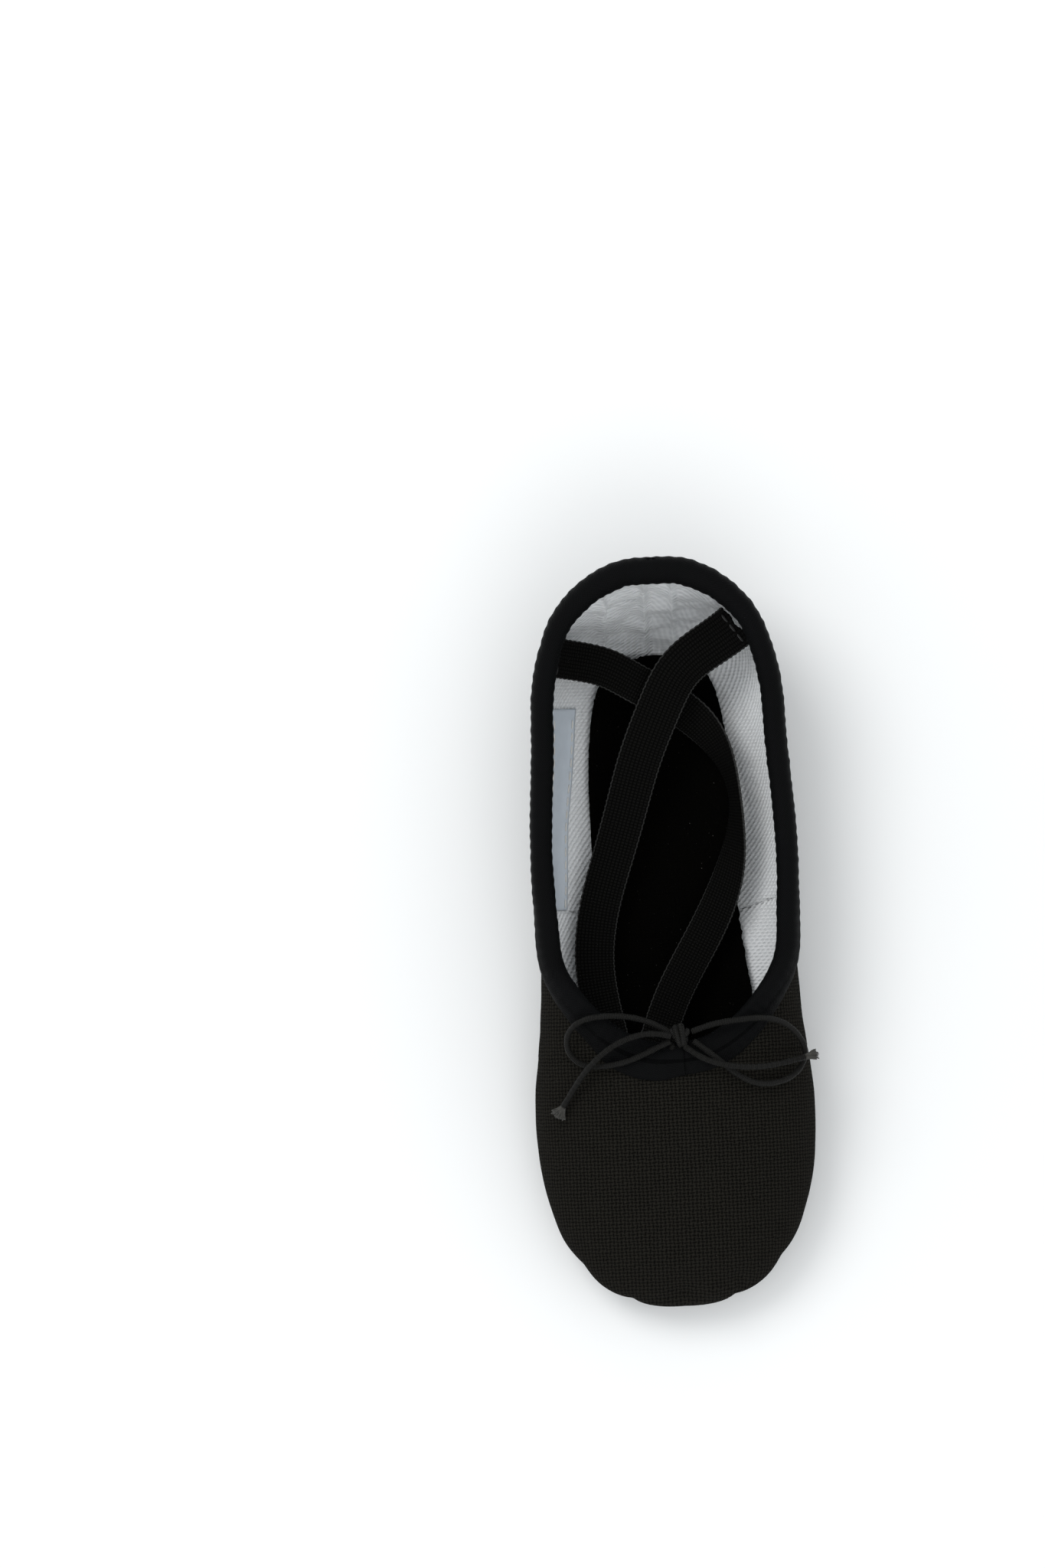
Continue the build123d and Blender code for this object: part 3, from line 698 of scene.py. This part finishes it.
def pleats(p):
    """Deep folds on the underside of the toe, where the canvas is gathered under the front patch."""
    around = np.arctan2(p[..., 0], -(p[..., 1] + 70))
    fold = np.abs(np.sin(around * 7.5 + 0.5 * np.sin(around * 3))) ** 0.7
    under = clamp((17.0 - p[..., 2]) / 9.0) * clamp((-82 - p[..., 1]) / 10.0)
    return (fold - 0.75) * PLEAT_DEPTH * under


def canvas_bump(p):
    x, y, z = p[..., 0], p[..., 1], p[..., 2]
    bump = 0.35 * wave(p, 22.0) + 0.13 * wave(p, 7.0, 9.0)
    bump += 0.35 * wave(p * [0.35, 1.6, 1.0], 15.0, 4.0) * clamp((y - 10) / 40)
    bump += pleats(p)
    for cx, cy, size, depth in TOE_DENTS:
        bump -= depth * bell(np.hypot(x - cx, y - cy), size) * (z > 15)
    bump -= 0.35 * bell(y - seam_y(x), 1.2) * (z < 36)
    bump -= 0.4 * clamp((y - 96) / 3) * (bell(x + 16.5, 0.9) + bell(x - 8.5, 0.9))
    low = np.clip((z - 4.0) / 6.0, 0.12, 1.0)
    ends = np.clip((HEEL_Y - y) / 3.0, 0.2, 1) * np.clip((y - TOE_Y) / 3.0, 0.2, 1)
    return bump * low * ends


def lining_bump(p):
    """Folds of the lining. They all stand inwards, away from the canvas."""
    x, y, z = p[..., 0], p[..., 1], p[..., 2]
    bump = 0.25 * (wave(p, 20.0, 2.0) - 1) + 0.12 * (wave(p, 8.0, 5.0) - 1)
    rear = clamp((y - 84) / 4)
    for cx in (-16.1, -2.5, 6.8):
        bump -= SEAM_RIDGE * rear * bell(x - cx, 1.0)
    bump -= PLEAT_DEPTH * clamp((-80 - y) / 6)  # clear of the toe's pleats and dents
    low = clamp((43 - z) / 8.0) * clamp((26 - np.abs(x)) / 5) * rear
    bump -= PUCKER * low * np.abs(wave(p * [0.7, 1.8, 0.8], 8.0, 21.0))
    return bump * np.clip((52 - z) / 6.0, 0.15, 1)


def layer(slot, ending, rear_name, strip_node, in_strip, front_grid, rear_grid, depths, bump):
    """The canvas or its lining: a front piece, a rear one cut into two sides, and the strip up the heel."""
    vamp = shell(f"vamp{ending}_shell", vamp_y, *front_grid, depths, bump)
    finish(vamp, slot, "vamp" + ending)
    right = shell(rear_name, rear_y, *rear_grid, depths, bump)
    strip = split(right, strip_node + "_shell", in_strip)
    left = split(right, f"left_quarter{ending}_shell", lambda c: c.x < 0)
    finish(right, slot, "right_quarter" + ending)
    finish(left, slot, "left_quarter" + ending)
    finish(strip, slot, strip_node, body="heel")


def uppers():
    fine = 1.0
    grid = int(150 * fine), int(130 * fine)
    in_strip = lambda c: c.y > 97 and -16.5 < c.x < 8.5
    layer("canvas", "", "quarters_shell", "heel_strip", in_strip, grid, grid, CANVAS, canvas_bump)
    rows, cols = int(110 * fine), int(90 * fine)
    grids = (rows, cols), (int(rows * 1.5), int(cols * 1.3))
    in_strip = lambda c: c.y > 88 and -17 < c.x < 6
    layer("lining", "_lining", "quarter_linings_shell", "heel_lining", in_strip, *grids, LINING, lining_bump)


# --- Curves through points ---
def lengths_along(path):
    """How far along the path each of its points lies."""
    return np.concatenate([[0], np.cumsum(np.linalg.norm(np.diff(path, axis=0), axis=1))])


def spline(points, count):
    """A natural cubic spline through the points, at even steps of its length."""
    points = np.asarray(points, float)
    t = np.concatenate([[0], np.cumsum(np.sqrt(np.linalg.norm(np.diff(points, axis=0)[:, :3], axis=1)))])
    h = np.diff(t)
    n = len(t)
    system, right = np.eye(n), np.zeros(points.shape)
    for i in range(1, n - 1):
        system[i, i - 1 : i + 2] = h[i - 1], 2 * (h[i - 1] + h[i]), h[i]
        right[i] = 6 * ((points[i + 1] - points[i]) / h[i] - (points[i] - points[i - 1]) / h[i - 1])
    bend = np.linalg.solve(system, right)
    at = np.linspace(0, t[-1], count * 4)
    i = np.clip(np.searchsorted(t, at) - 1, 0, n - 2)
    a, b = ((t[i + 1] - at) / h[i])[:, None], ((at - t[i]) / h[i])[:, None]
    step = (h[i] ** 2 / 6)[:, None]
    fine = a * points[i] + b * points[i + 1] + ((a**3 - a) * bend[i] + (b**3 - b) * bend[i + 1]) * step
    arc = lengths_along(fine[:, :3])
    even = np.linspace(0, arc[-1], count)
    return np.stack([np.interp(even, arc, fine[:, k]) for k in range(points.shape[1])], -1), even


def unit(v):
    return v / np.maximum(np.linalg.norm(v, axis=-1, keepdims=True), 1e-9)


def frames(path, out=None):
    """Tangents, and two directions across, along a path. Without out, the frame turns as little as it can."""
    tangent = unit(np.gradient(path, axis=0))
    if out is None:
        level = abs(tangent[0][2]) < 0.9
        out = [unit(np.cross(tangent[0], [0, 0, 1] if level else [1, 0, 0]))]
        for t in tangent[1:]:
            out.append(unit(out[-1] - t * np.dot(out[-1], t)))
        out = np.array(out)
    out = unit(out - tangent * (out * tangent).sum(-1, keepdims=True))
    return tangent, out, np.cross(tangent, out)


def swept(name, path, section, around, out=None):
    """A solid along a path. section(k, angle) gives each ring's (outwards, sideways) offsets."""
    _, across, side = frames(path, out)
    angle = np.linspace(0, 2 * math.pi, around, endpoint=False)
    arc = lengths_along(path)
    points, uvs = [], []
    for k, place in enumerate(path):
        a, b = section(k, angle)
        points.append(place + a[:, None] * across[k] + b[:, None] * side[k])
        girth = np.concatenate([[0], np.cumsum(np.hypot(np.diff(a), np.diff(b)))])
        uvs.append(np.stack([girth, np.full(around, arc[k])], -1))
    faces = [*grid_faces(len(path), around, close=True), list(range(around))[::-1]]
    faces.append([(len(path) - 1) * around + j for j in range(around)])
    return new_mesh(name, np.concatenate(points), faces, np.concatenate(uvs))


def round_tube(name, path, radius, around=12, ribs=0.0, pitch=0.5):
    """A cord of round section. ribs is the depth of the spiral winding round it."""
    arc = lengths_along(path)

    def section(k, angle):
        groove = ribs * (0.5 + 0.5 * np.sin(2 * math.pi * arc[k] / pitch + angle))
        r = radius * (1 + 0.04 * math.sin(arc[k] * 1.3)) - groove
        return r * np.cos(angle), r * np.sin(angle)

    return swept(name, path, section, around)


# --- Binding and drawstring ---
def roof_normal(x, y):
    slope_x = (roof_at(x + 0.5, y) - roof_at(x - 0.5, y)) / 1.0
    slope_y = (roof_at(x, y + 0.5) - roof_at(x, y - 0.5)) / 1.0
    return unit(np.array([-slope_x, -slope_y, 1.0]))


def wall_point(y, z, depth):
    """The place and outward direction on the right wall, at a height, that far below the canvas's outside."""
    skin = SKINS[0.0]
    i = int(np.clip(np.searchsorted(skin.ys, y), 0, len(skin.ys) - 1))
    share = np.interp(-z, -skin.z[i], skin.shares)
    at = np.array([y]), np.array([share])
    n = out_at(*at)[0]
    return skin.at(*at)[0][0] - n * depth, n


def rim_path():
    """Middles and outward directions of the tape, from its left front end round the heel to its right one."""
    front = [(2.6, -37.6), *FRONT_RIM[1:-1]]
    right = [(np.array([x, y, roof_at(x, y, TAPE_INSET)]), roof_normal(x, y)) for x, y in front]
    for y in (-9, 4, 22, 42, 60, 72, 82, 90, 97, 103, 107.5, 110.8, 112.8, 114.2):
        place, n = wall_point(y, smooth(TOPLINE_Z, y), TAPE_INSET + CANVAS[1])
        behind = clamp((y - 97) / 15)
        n = unit(n * [1, 1, 1 - 0.8 * behind])
        right.append((place - n * 1.9 * behind, n))
    left = [(p * MIRROR, n * MIRROR) for p, n in right]
    return [*left, (np.array([0, 111.3, 51.5]), np.array([0, 1.0, 0])), *right[::-1]]


def tape_sizes(y):
    """Half height and half thickness of the tape at y: flat on the vamp, fuller at the sides and the heel."""
    share = clamp((y + 34) / 28)
    share = share * share * (3 - 2 * share)
    heel = clamp((y - 95) / 15)
    sizes = [front + (side - front) * share for side, front in zip(TAPE_SIDE, TAPE_FRONT)]
    return sizes[0] + 0.2 * heel, sizes[1] + 0.7 * heel


def topline():
    path = rim_path()
    level, up = roof_at(0.0, -37.7, TAPE_INSET), roof_normal(0.0, -37.7)
    ends = [(np.array([x, -37.7, level + rise]), up) for x, rise in ((3.2, 0.5), (0.6, -0.3))]
    path = [ends[0], *path, ends[1]]
    stations = [np.concatenate([place, out * 3.0]) for place, out in path]
    line, arc = spline(stations, 900)
    middle, out = line[:, :3], unit(line[:, 3:])
    front_row = int(np.argmin(middle[: len(middle) // 2, 1]))
    toe_side = 1 if frames(middle, out)[2][front_row][1] < 0 else -1
    rib = [lump(s * 0.22, 0.3, 7.0) for s in arc]

    def section(k, angle):
        half_height, half_thickness = tape_sizes(middle[k][1])
        power = 2 / 2.4
        c, s = np.cos(angle), np.sin(angle)
        a = half_thickness * np.sign(c) * np.abs(c) ** power
        b = half_height * np.sign(s) * np.abs(s) ** power
        pucker = 0.10 * np.sin(arc[k] * 1.9 + 1.5 * rib[k]) * np.cos(angle * 2) + 0.16 * rib[k]
        x = middle[k][0]
        front = clamp((-14 - middle[k][1]) / 10)
        # The tape's two turned-under ends lie slantwise over its front.
        left_end, right_end = (1 / (1 + np.exp(-(x - at + 0.5 * b) / 0.25)) for at in (-23, 9))
        lap = 0.55 * front * (left_end - right_end)
        # A row of stitches draws the tape in along its outer edge.
        stitch = 0.6 + 0.4 * math.sin(arc[k] * 2 * math.pi / 3.2)
        draw = -0.35 * front * bell(np.abs(b) - half_height * 0.66, 0.5) * stitch
        grow = 1 + pucker / half_thickness
        # The left end is cut wider than the tape and reaches further over the toe.
        flap = front * 1.8 * math.exp(-(((x + 10) / 10) ** 4))
        toeward = clamp(b * toe_side / half_height)
        b = b * (1 + 0.4 * pucker / half_height) + toe_side * flap * toeward
        return a * grow + (lap + draw) * (c > 0) - 0.06 * flap * toeward * flap, b

    binding = swept("binding", middle, section, 40, out=out)
    finish(binding, "binding_tape", "topline_binding")

    exit_left = [(0.0, -33.1, 45.0), (-0.9, -35.0, 44.2), (-1.5, -36.6, 43.4)]
    exit_right = [(1.5, -36.6, 43.4), (1.7, -35.2, 44.0), (2.0, -33.7, 44.5)]
    route = [*exit_left, *(p for p, _ in rim_path()), *exit_right]
    cord_line, _ = spline(route, 700)
    cord = round_tube("drawstring_run", cord_line, CORD_RADIUS, 12, 0.08, 0.5)
    finish(cord, "cord", "drawstring_in_casing")


# --- Flat pieces cut in plan ---
FRONT_PATCH = [(0, 2), (11, -1.5), (19, -10), (26, -24), (31, -40), (34, -58), (32.5, -72), (25, -84)]
FRONT_PATCH += [(0, -91.5)]
FRONT_PAD = [(0, -12), (12, -18), (19, -34), (22, -54), (19, -72), (0, -82)]
HEEL_PATCH = [(0, 93.5), (10, 92), (18.5, 84), (20.5, 75), (17.5, 64.5), (12, 55), (0, 47.5)]
HEEL_PAD = [(0, 84), (9, 82), (14, 74), (12, 64), (0, 56)]
INSOLE_OUTLINE = [(0, 86), (14, 82), (20, 68), (22, 44), (22, 18), (24, -8), (28, -34), (31, -56), (27, -80)]
INSOLE_OUTLINE += [(14, -95), (0, -98)]


def closed(right_half, count):
    """Even points of the closed curve through a right half and its mirror image."""
    loop = right_half + [(-x, y) for x, y in right_half[-2:0:-1]]
    wrapped = loop[-4:] + loop + loop[:5]
    pts = np.array([(x, y, 0) for x, y in wrapped], float)
    fine, _ = spline(pts, 4000)
    first = int(np.argmin(np.linalg.norm(fine[:2000, :2] - loop[0], axis=1)))
    last = 2000 + int(np.argmin(np.linalg.norm(fine[2000:, :2] - loop[0], axis=1)))
    ring = fine[first : last + 1]
    arc = lengths_along(ring)
    even = np.linspace(0, arc[-1], count, endpoint=False)
    return np.stack([np.interp(even, arc, ring[:, k]) for k in (0, 1)], -1)


def flat_piece(name, right_half, face, back, ragged, rings=34, around=360, seed=0.0):
    """A piece cut in plan, in rings from its edge to its middle. face and back give heights at x, y."""
    edge = closed(right_half, around)
    centre = np.array([0, (right_half[0][1] + right_half[-1][1]) / 2])
    rough = [lump(x * 0.9, y * 0.9, seed) + 0.6 * lump(x * 0.25, y * 0.25, seed) for x, y in edge]
    away = unit(edge - centre)
    edge = edge + away * (ragged * np.array(rough))[:, None]
    shares = 1 - np.linspace(0, 1, rings) ** 1.6 * 0.995
    points, uvs = [], []
    for heights in (face, back):
        for share in shares:
            ring = centre + (edge - centre) * share
            for x, y in ring:
                points.append((x, y, heights(x, y, share)))
                uvs.append((x, y))
    count = rings * around
    back_quads = grid_faces(rings, around, flip=True, close=True) + count
    faces = [*grid_faces(rings, around, close=True), *back_quads]
    last = (rings - 1) * around
    faces.append([last + j for j in range(around)])
    faces.append([count + last + j for j in range(around)][::-1])
    faces += [(j, count + j, count + (j + 1) % around, (j + 1) % around) for j in range(around)]
    obj = new_mesh(name, points, faces, uvs)
    edit_mesh(obj, face_outwards)
    return obj


def inset(right_half, distance):
    middle = (right_half[0][1] + right_half[-1][1]) / 2
    moved = []
    for x, y in right_half:
        share = 1 - distance / math.hypot(x, y - middle)
        moved.append((x * share, middle + (y - middle) * share))
    return moved


def capsules(name, places, size=(2.8, 0.8, 0.5)):
    """Threads along each (place, heading, out). size is length, width and thickness."""
    length, width, thickness = size
    points, faces, uvs = [], [], []
    stations = [(-0.5, 0.25), (-0.42, 0.75), (-0.2, 1.0), (0.2, 1.0), (0.42, 0.75), (0.5, 0.25)]
    around = 8
    for k, (place, heading, out) in enumerate(places):
        place, heading, out = (np.array(v, float) for v in (place, heading, out))
        out = unit(out)
        skew = 0.12 * lump(k * 1.7, 3.0, 0)
        heading = unit(heading - out * np.dot(heading, out))
        side = np.cross(out, heading)
        heading = unit(heading + side * skew)
        side = np.cross(out, heading)
        base = len(points)
        for along, grow in stations:
            sag = -0.25 * thickness * (abs(along) > 0.45)
            for j in range(around):
                turn = 2 * math.pi * j / around
                offset = heading * along * length + side * math.cos(turn) * width / 2 * grow
                points.append(place + offset + out * (math.sin(turn) * thickness / 2 * grow + sag))
                uvs.append((turn * width / 2, along * length))
        for r in range(len(stations) - 1):
            for j in range(around):
                a, b = base + r * around + j, base + r * around + (j + 1) % around
                faces.append((a, b, b + around, a + around))
        faces.append([base + j for j in range(around)][::-1])
        faces.append([base + (len(stations) - 1) * around + j for j in range(around)])
    return new_mesh(name, points, faces, uvs)


def sole_row(right_half):
    """Stitches along a closed row on the underside of a patch."""
    edge = closed(right_half, 400)
    length = float(np.linalg.norm(edge - np.roll(edge, 1, axis=0), axis=1).sum())
    ring = closed(right_half, 4 * round(length / STITCH_PITCH))
    count = len(ring) // 4
    found = []
    for k in range(count):
        x, y = ring[4 * k + 2]
        heading = ring[(4 * k + 3) % len(ring)] - ring[4 * k + 1]
        face = floor_at(x, y, -SUEDE)
        slope_x = floor_at(x + 0.5, y, -SUEDE) - floor_at(x - 0.5, y, -SUEDE)
        slope_y = floor_at(x, y + 0.5, -SUEDE) - floor_at(x, y - 0.5, -SUEDE)
        out = unit(np.array([slope_x, slope_y, -1.0])) if face > 0 else np.array([0, 0, -1.0])
        found.append((np.array([x, y, max(face, 0.0)]) - out * 0.42, (heading[0], heading[1], 0), out))
    return found


def soles():
    rows = (
        ("front_patch_edge_stitching", "front_patch", FRONT_PATCH, 5),
        ("front_patch_inner_stitching", "front_patch", FRONT_PATCH, 17),
        ("heel_patch_stitching", "heel_patch", HEEL_PATCH, 4.5),
    )
    bodies = {"front_patch": None, "heel_patch": "heel"}
    dips = {"front_patch": [], "heel_patch": []}
    for name, patch, outline, distance in rows:
        line = inset(outline, distance)
        dips[patch].append(closed(line, 700))
        finish(capsules(name + "_threads", sole_row(line)), "white_thread", name, body=bodies[patch])

    def under(patch):
        def height(x, y, share):
            near = min(float(np.min(np.hypot(line[:, 0] - x, line[:, 1] - y))) for line in dips[patch])
            dip = 0.55 * math.exp(-((near / 1.1) ** 2))
            nap = max(0.0, 0.10 * lump(x * 0.5, y * 0.5, 1.0) + 0.12)
            turned_up = 0.5 * max(0.0, share - 0.985) / 0.015
            return max(0.0, floor_at(x, y, -SUEDE) + nap) + dip + turned_up

        return height

    def over(x, y, share):
        return floor_at(x, y, -0.1) - 0.05

    for patch, outline in (("front_patch", FRONT_PATCH), ("heel_patch", HEEL_PATCH)):
        piece = flat_piece(patch + "_suede", outline, under(patch), over, 0.45, seed=2.0)
        finish(piece, "suede", patch, body=bodies[patch])

    def level(depth):
        return lambda x, y, share: floor_at(x, y, depth)

    for name, outline, body in (("forefoot_pad", FRONT_PAD, "forefoot"), ("heel_pad", HEEL_PAD, "heel")):
        pad = flat_piece(name + "_foam", outline, level(PAD[0]), level(PAD[1]), 0.2, 8, 90)
        finish(pad, "padding", name, body=body)

    def sock_face(x, y, share):
        wavy = 0.18 * lump(x * 0.08, y * 0.08, 5.0) + 0.05 * lump(x * 0.6, y * 0.6, 1.0)
        return floor_at(x, y, SOCK[0]) + wavy

    sock = flat_piece("insole_cloth", INSOLE_OUTLINE, sock_face, level(SOCK[1]), 0.55, 40, 420, 8.0)
    finish(sock, "insole_cloth", "insole")


# --- Straps ---
STRAP_OVER = [
    (25.2, 93.6, 42.6, 0), (23.0, 92.0, 37.5, 0), (17.5, 88.5, 33.0, 0), (8.0, 81.5, 28.5, 0),
    (1.0, 70.0, 24.5, 0), (-5.7, 54.6, 20.5, 0), (-10.7, 39.3, 17.0, 0), (-15.7, 24.0, 14.5, 0),
    (-20.4, 8.8, 14.0, 0), (-22.6, -6.6, 14.5, 0), (-21.4, -20.0, 15.5, 0), (-18.5, -34.0, 17.0, 0),
]
STRAP_UNDER = [
    (-30.6, 86.4, 41.6, 0), (-28.6, 86.0, 36.0, 0), (-23.5, 85.0, 31.0, 0), (-15.0, 82.6, 27.0, 0),
    (-5.8, 77.4, 23.2, 0), (3.0, 72.2, 20.5, 8), (11.3, 66.0, 18.5, 20), (18.6, 56.5, 18.5, 50),
    (22.6, 43.7, 19.0, 72), (22.8, 31.5, 18.5, 64), (20.4, 19.0, 16.5, 40), (13.0, 2.0, 13.0, 12),
    (1.5, -18.0, 14.5, 0), (-5.0, -34.0, 17.0, 0),
]


def band(name, route, widths, gathers):
    """A ribbed elastic band with thin scalloped edges. Its columns run lengthwise."""
    line, arc = spline(route, 520)
    path, roll = line[:, :3], np.radians(line[:, 3])
    tangent = unit(np.gradient(path, axis=0))
    level = unit(np.stack([-tangent[:, 1], tangent[:, 0], np.zeros(len(path))], -1))
    up = np.cross(tangent, level)
    across = level * np.cos(roll)[:, None] + up * np.sin(roll)[:, None]
    face = np.cross(tangent, across)
    columns = 11
    cols = 73
    u = np.linspace(-1, 1, cols)
    bead = np.abs(np.sin((u * 0.5 + 0.5) * columns * math.pi)) ** 0.6
    rim = clamp((1 - np.abs(u)) / 0.08) ** 0.5
    points, uvs = [], []
    for turned in (1, -1):
        for k in range(len(path)):
            knit = 0.5 + 0.5 * math.sin(2 * math.pi * arc[k] / 0.95)
            half = (widths[0] + (widths[1] - widths[0]) * arc[k] / arc[-1]) / 2
            scallop = half * (1 - 0.03 * (0.5 + 0.5 * math.sin(2 * math.pi * arc[k] / 1.9)))
            sewn = math.exp(-arc[k] / 7.0) * gathers
            crease = 0.4 * sewn * np.sin(u * 7 + 2.0 + arc[k] * 0.25) * (1 - u * u)
            ribbing = (0.45 + 0.55 * bead * (0.72 + 0.28 * knit)) * (0.35 + 0.65 * rim)
            lift = turned * STRAP_HALF_THICKNESS * ribbing + crease
            points.append(path[k] + across[k] * (u * scallop)[:, None] + face[k] * lift[:, None])
            uvs.append(np.stack([u * 6.6, np.full(cols, arc[k])], -1))
    obj = new_mesh(name, np.concatenate(points), sheet_faces(len(path), cols), np.concatenate(uvs))
    edit_mesh(obj, face_outwards)
    return obj


def straps():
    for node, route, body, gathers in (
        ("strap_over", STRAP_OVER, "over_strap", 1.0),
        ("strap_under", STRAP_UNDER, "under_strap", 0.35),
    ):
        obj = band(node + "_elastic", route, STRAP_WIDTHS[node], gathers)
        obj.data.materials.append(MATERIALS["elastic"])
        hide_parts(node)
        start, end = (Vector(route[k][:3]) * MM for k in (0, 3))
        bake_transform(obj)
    places = []
    for route in (STRAP_OVER, STRAP_UNDER):
        start = np.array(route[0][:3])
        down = unit(np.array(route[1][:3]) - start)
        across = unit(np.array([-down[1], down[0], 0.0]))
        inwards = np.cross(down, across)
        inwards = inwards * (-1 if inwards[0] * start[0] > 0 else 1)
        for k in (-1, 0, 1):
            places.append((start + down * 1.5 + inwards * 0.85 + across * (3.8 * k), across, inwards))
    finish(capsules("strap_tack_threads", places), "black_thread", "strap_tacks", body="heel")


# --- Label ---
def label():
    ys, zs = np.linspace(*LABEL_Y, 90), np.linspace(*LABEL_Z, 26)
    points, uvs = [], []
    for depth in LABEL:
        for y in ys:
            for z in zs:
                p, n = wall_point(y, z, depth)
                ripple = 0.12 * lump(y * 0.12, z * 0.3, 2.0)
                points.append((p - n * ripple) * MIRROR)
                uvs.append((y, z))
    piece = new_mesh("label_satin", points, sheet_faces(len(ys), len(zs)), uvs)
    finish(piece, "label_satin", "size_label")
    places = []
    for z in (LABEL_Z[0] + 1.2, LABEL_Z[1] - 1.2):
        for k in range(15):
            y = 11 + 59 / 15 * k
            here, out = wall_point(y, z, LABEL[0] + 0.25)
            there, _ = wall_point(y + 3, z, LABEL[0] + 0.25)
            places.append((here * MIRROR, (there - here) * MIRROR, -out * MIRROR))
    finish(capsules("label_threads", places, (2.8, 0.6, 0.5)), "white_thread", "label_stitching")


# --- Bow ---
LOOP_LEFT = [
    (-1.2, -29.4, 46.6), (-7.0, -26.2, 47.0), (-13.6, -24.2, 47.0), (-20.8, -23.7, 46.4),
    (-27.8, -24.9, 44.8), (-31.9, -28.7, 42.4), (-32.0, -34.1, 40.6), (-28.0, -38.2, 40.8),
    (-21.0, -38.9, 43.2), (-14.0, -37.6, 45.6), (-7.2, -34.9, 46.8), (-1.0, -32.2, 47.0),
]
LOOP_RIGHT = [
    (5.6, -29.6, 46.6), (12.4, -27.6, 47.0), (19.8, -26.7, 46.4), (27.0, -26.4, 44.6), (33.6, -28.2, 41.6),
    (38.4, -32.6, 38.0), (40.2, -38.2, 35.0), (37.4, -43.6, 35.6), (31.4, -46.4, 38.8), (24.6, -46.2, 42.0),
    (18.4, -42.8, 44.2), (12.2, -37.4, 46.2), (6.0, -32.4, 46.9),
]
TAIL_LEFT = [
    (-0.8, -30.6, 48.8), (-7.0, -29.6, 49.2), (-13.2, -30.6, 48.6), (-19.0, -33.2, 47.6),
    (-24.0, -37.0, 46.0), (-28.2, -41.6, 42.8), (-31.8, -46.8, 39.0), (-34.4, -50.8, 36.4),
]
TAIL_RIGHT = [
    (3.4, -34.0, 47.2), (8.2, -37.4, 48.6), (14.2, -39.8, 48.0), (20.8, -41.0, 46.4),
    (27.6, -41.2, 43.2), (34.2, -40.4, 39.8), (40.0, -39.2, 38.0),
]
TIP_LENGTH = 5.0
# Each cord tip: the tail it ends, how far its fibres fan out, and how many there are.
TIPS = {"cord_tip_left": (TAIL_LEFT, 2.6, 60), "cord_tip_right": (TAIL_RIGHT, 1.7, 50)}
KNOT = np.array([2.2, -30.6, 46.4])
# The knot's wraps: shift along X, half length, half height, turn about Z and lean about Y in degrees.
KNOT_WRAPS = [(0.6, 2.9, 2.0, 8, 0), (-0.7, 2.6, 1.9, 14, -10)]
KNOT_WRAPS += [(-0.6, 2.4, 1.6, 52, -25), (0.5, 1.9, 1.5, -50, 15)]


def frayed_tip(name, route, spread, count):
    """A tuft of fibres beyond a cord's end."""
    end, before = np.array(route[-1], float), np.array(route[-2], float)
    heading = unit(end - before)
    side = unit(np.cross(heading, [0, 0, 1]))
    up = np.cross(side, heading)
    pieces = []
    for k in range(count):
        turn, reach = k * 2.399963, math.sqrt((k + 0.5) / count)
        a, b = math.cos(turn) * reach, math.sin(turn) * reach
        length = TIP_LENGTH * (0.72 + 0.28 * lump(k * 0.77, 1.0, 2.0))
        pts = []
        for t in np.linspace(0, 1, 6):
            fan = 0.72 + (spread - 0.72) * t**1.4
            curl = 0.3 * t * np.array([lump(k, t * 2, c) for c in (0.0, 9.0, 17.0)])
            pts.append(end + heading * (0.1 + length * t) + side * a * fan + up * b * fan * 0.7 + curl)
        pieces.append(round_tube(f"fibre_{k}", np.array(pts), 0.17, 6))
    return joined(name, pieces)


def joined(name, pieces):
    first = pieces[0]
    with bpy.context.temp_override(active_object=first, selected_editable_objects=pieces, object=first):
        bpy.ops.object.join()
    first.name = first.data.name = name
    return first


def bow():
    tips = {}
    for node, shape in TIPS.items():
        tips[node] = frayed_tip(node + "_fibres", *shape)
        finish(tips[node], "cord", node, body="bow", material="fibre")
    for node, route, tip in (
        ("bow_loop_left", LOOP_LEFT, None),
        ("bow_loop_right", LOOP_RIGHT, None),
        ("cord_tail_left", TAIL_LEFT, "cord_tip_left"),
        ("cord_tail_right", TAIL_RIGHT, "cord_tip_right"),
    ):
        line, arc = spline(route, 260)
        obj = round_tube(node + "_cord", line, CORD_RADIUS, 18, 0.09, 0.55)
        finish(obj, "cord", node, body="bow")
    wraps = []
    for k, (shift, long, high, turn, lean) in enumerate(KNOT_WRAPS):
        ring = []
        for angle in np.linspace(0, 2 * math.pi, 60):
            p = Vector((0, long * math.cos(angle), high * math.sin(angle)))
            p.rotate(Euler((0, math.radians(lean), math.radians(turn))))
            ring.append(KNOT + np.array(p) + [shift, 0, 0])
        wraps.append(round_tube(f"wrap_{k}", np.array(ring), 0.98, 14, 0.08, 0.55))
    finish(joined("knot_wraps", wraps), "cord", "bow_knot", body="bow")


uppers()
topline()
soles()
straps()
label()
bow()
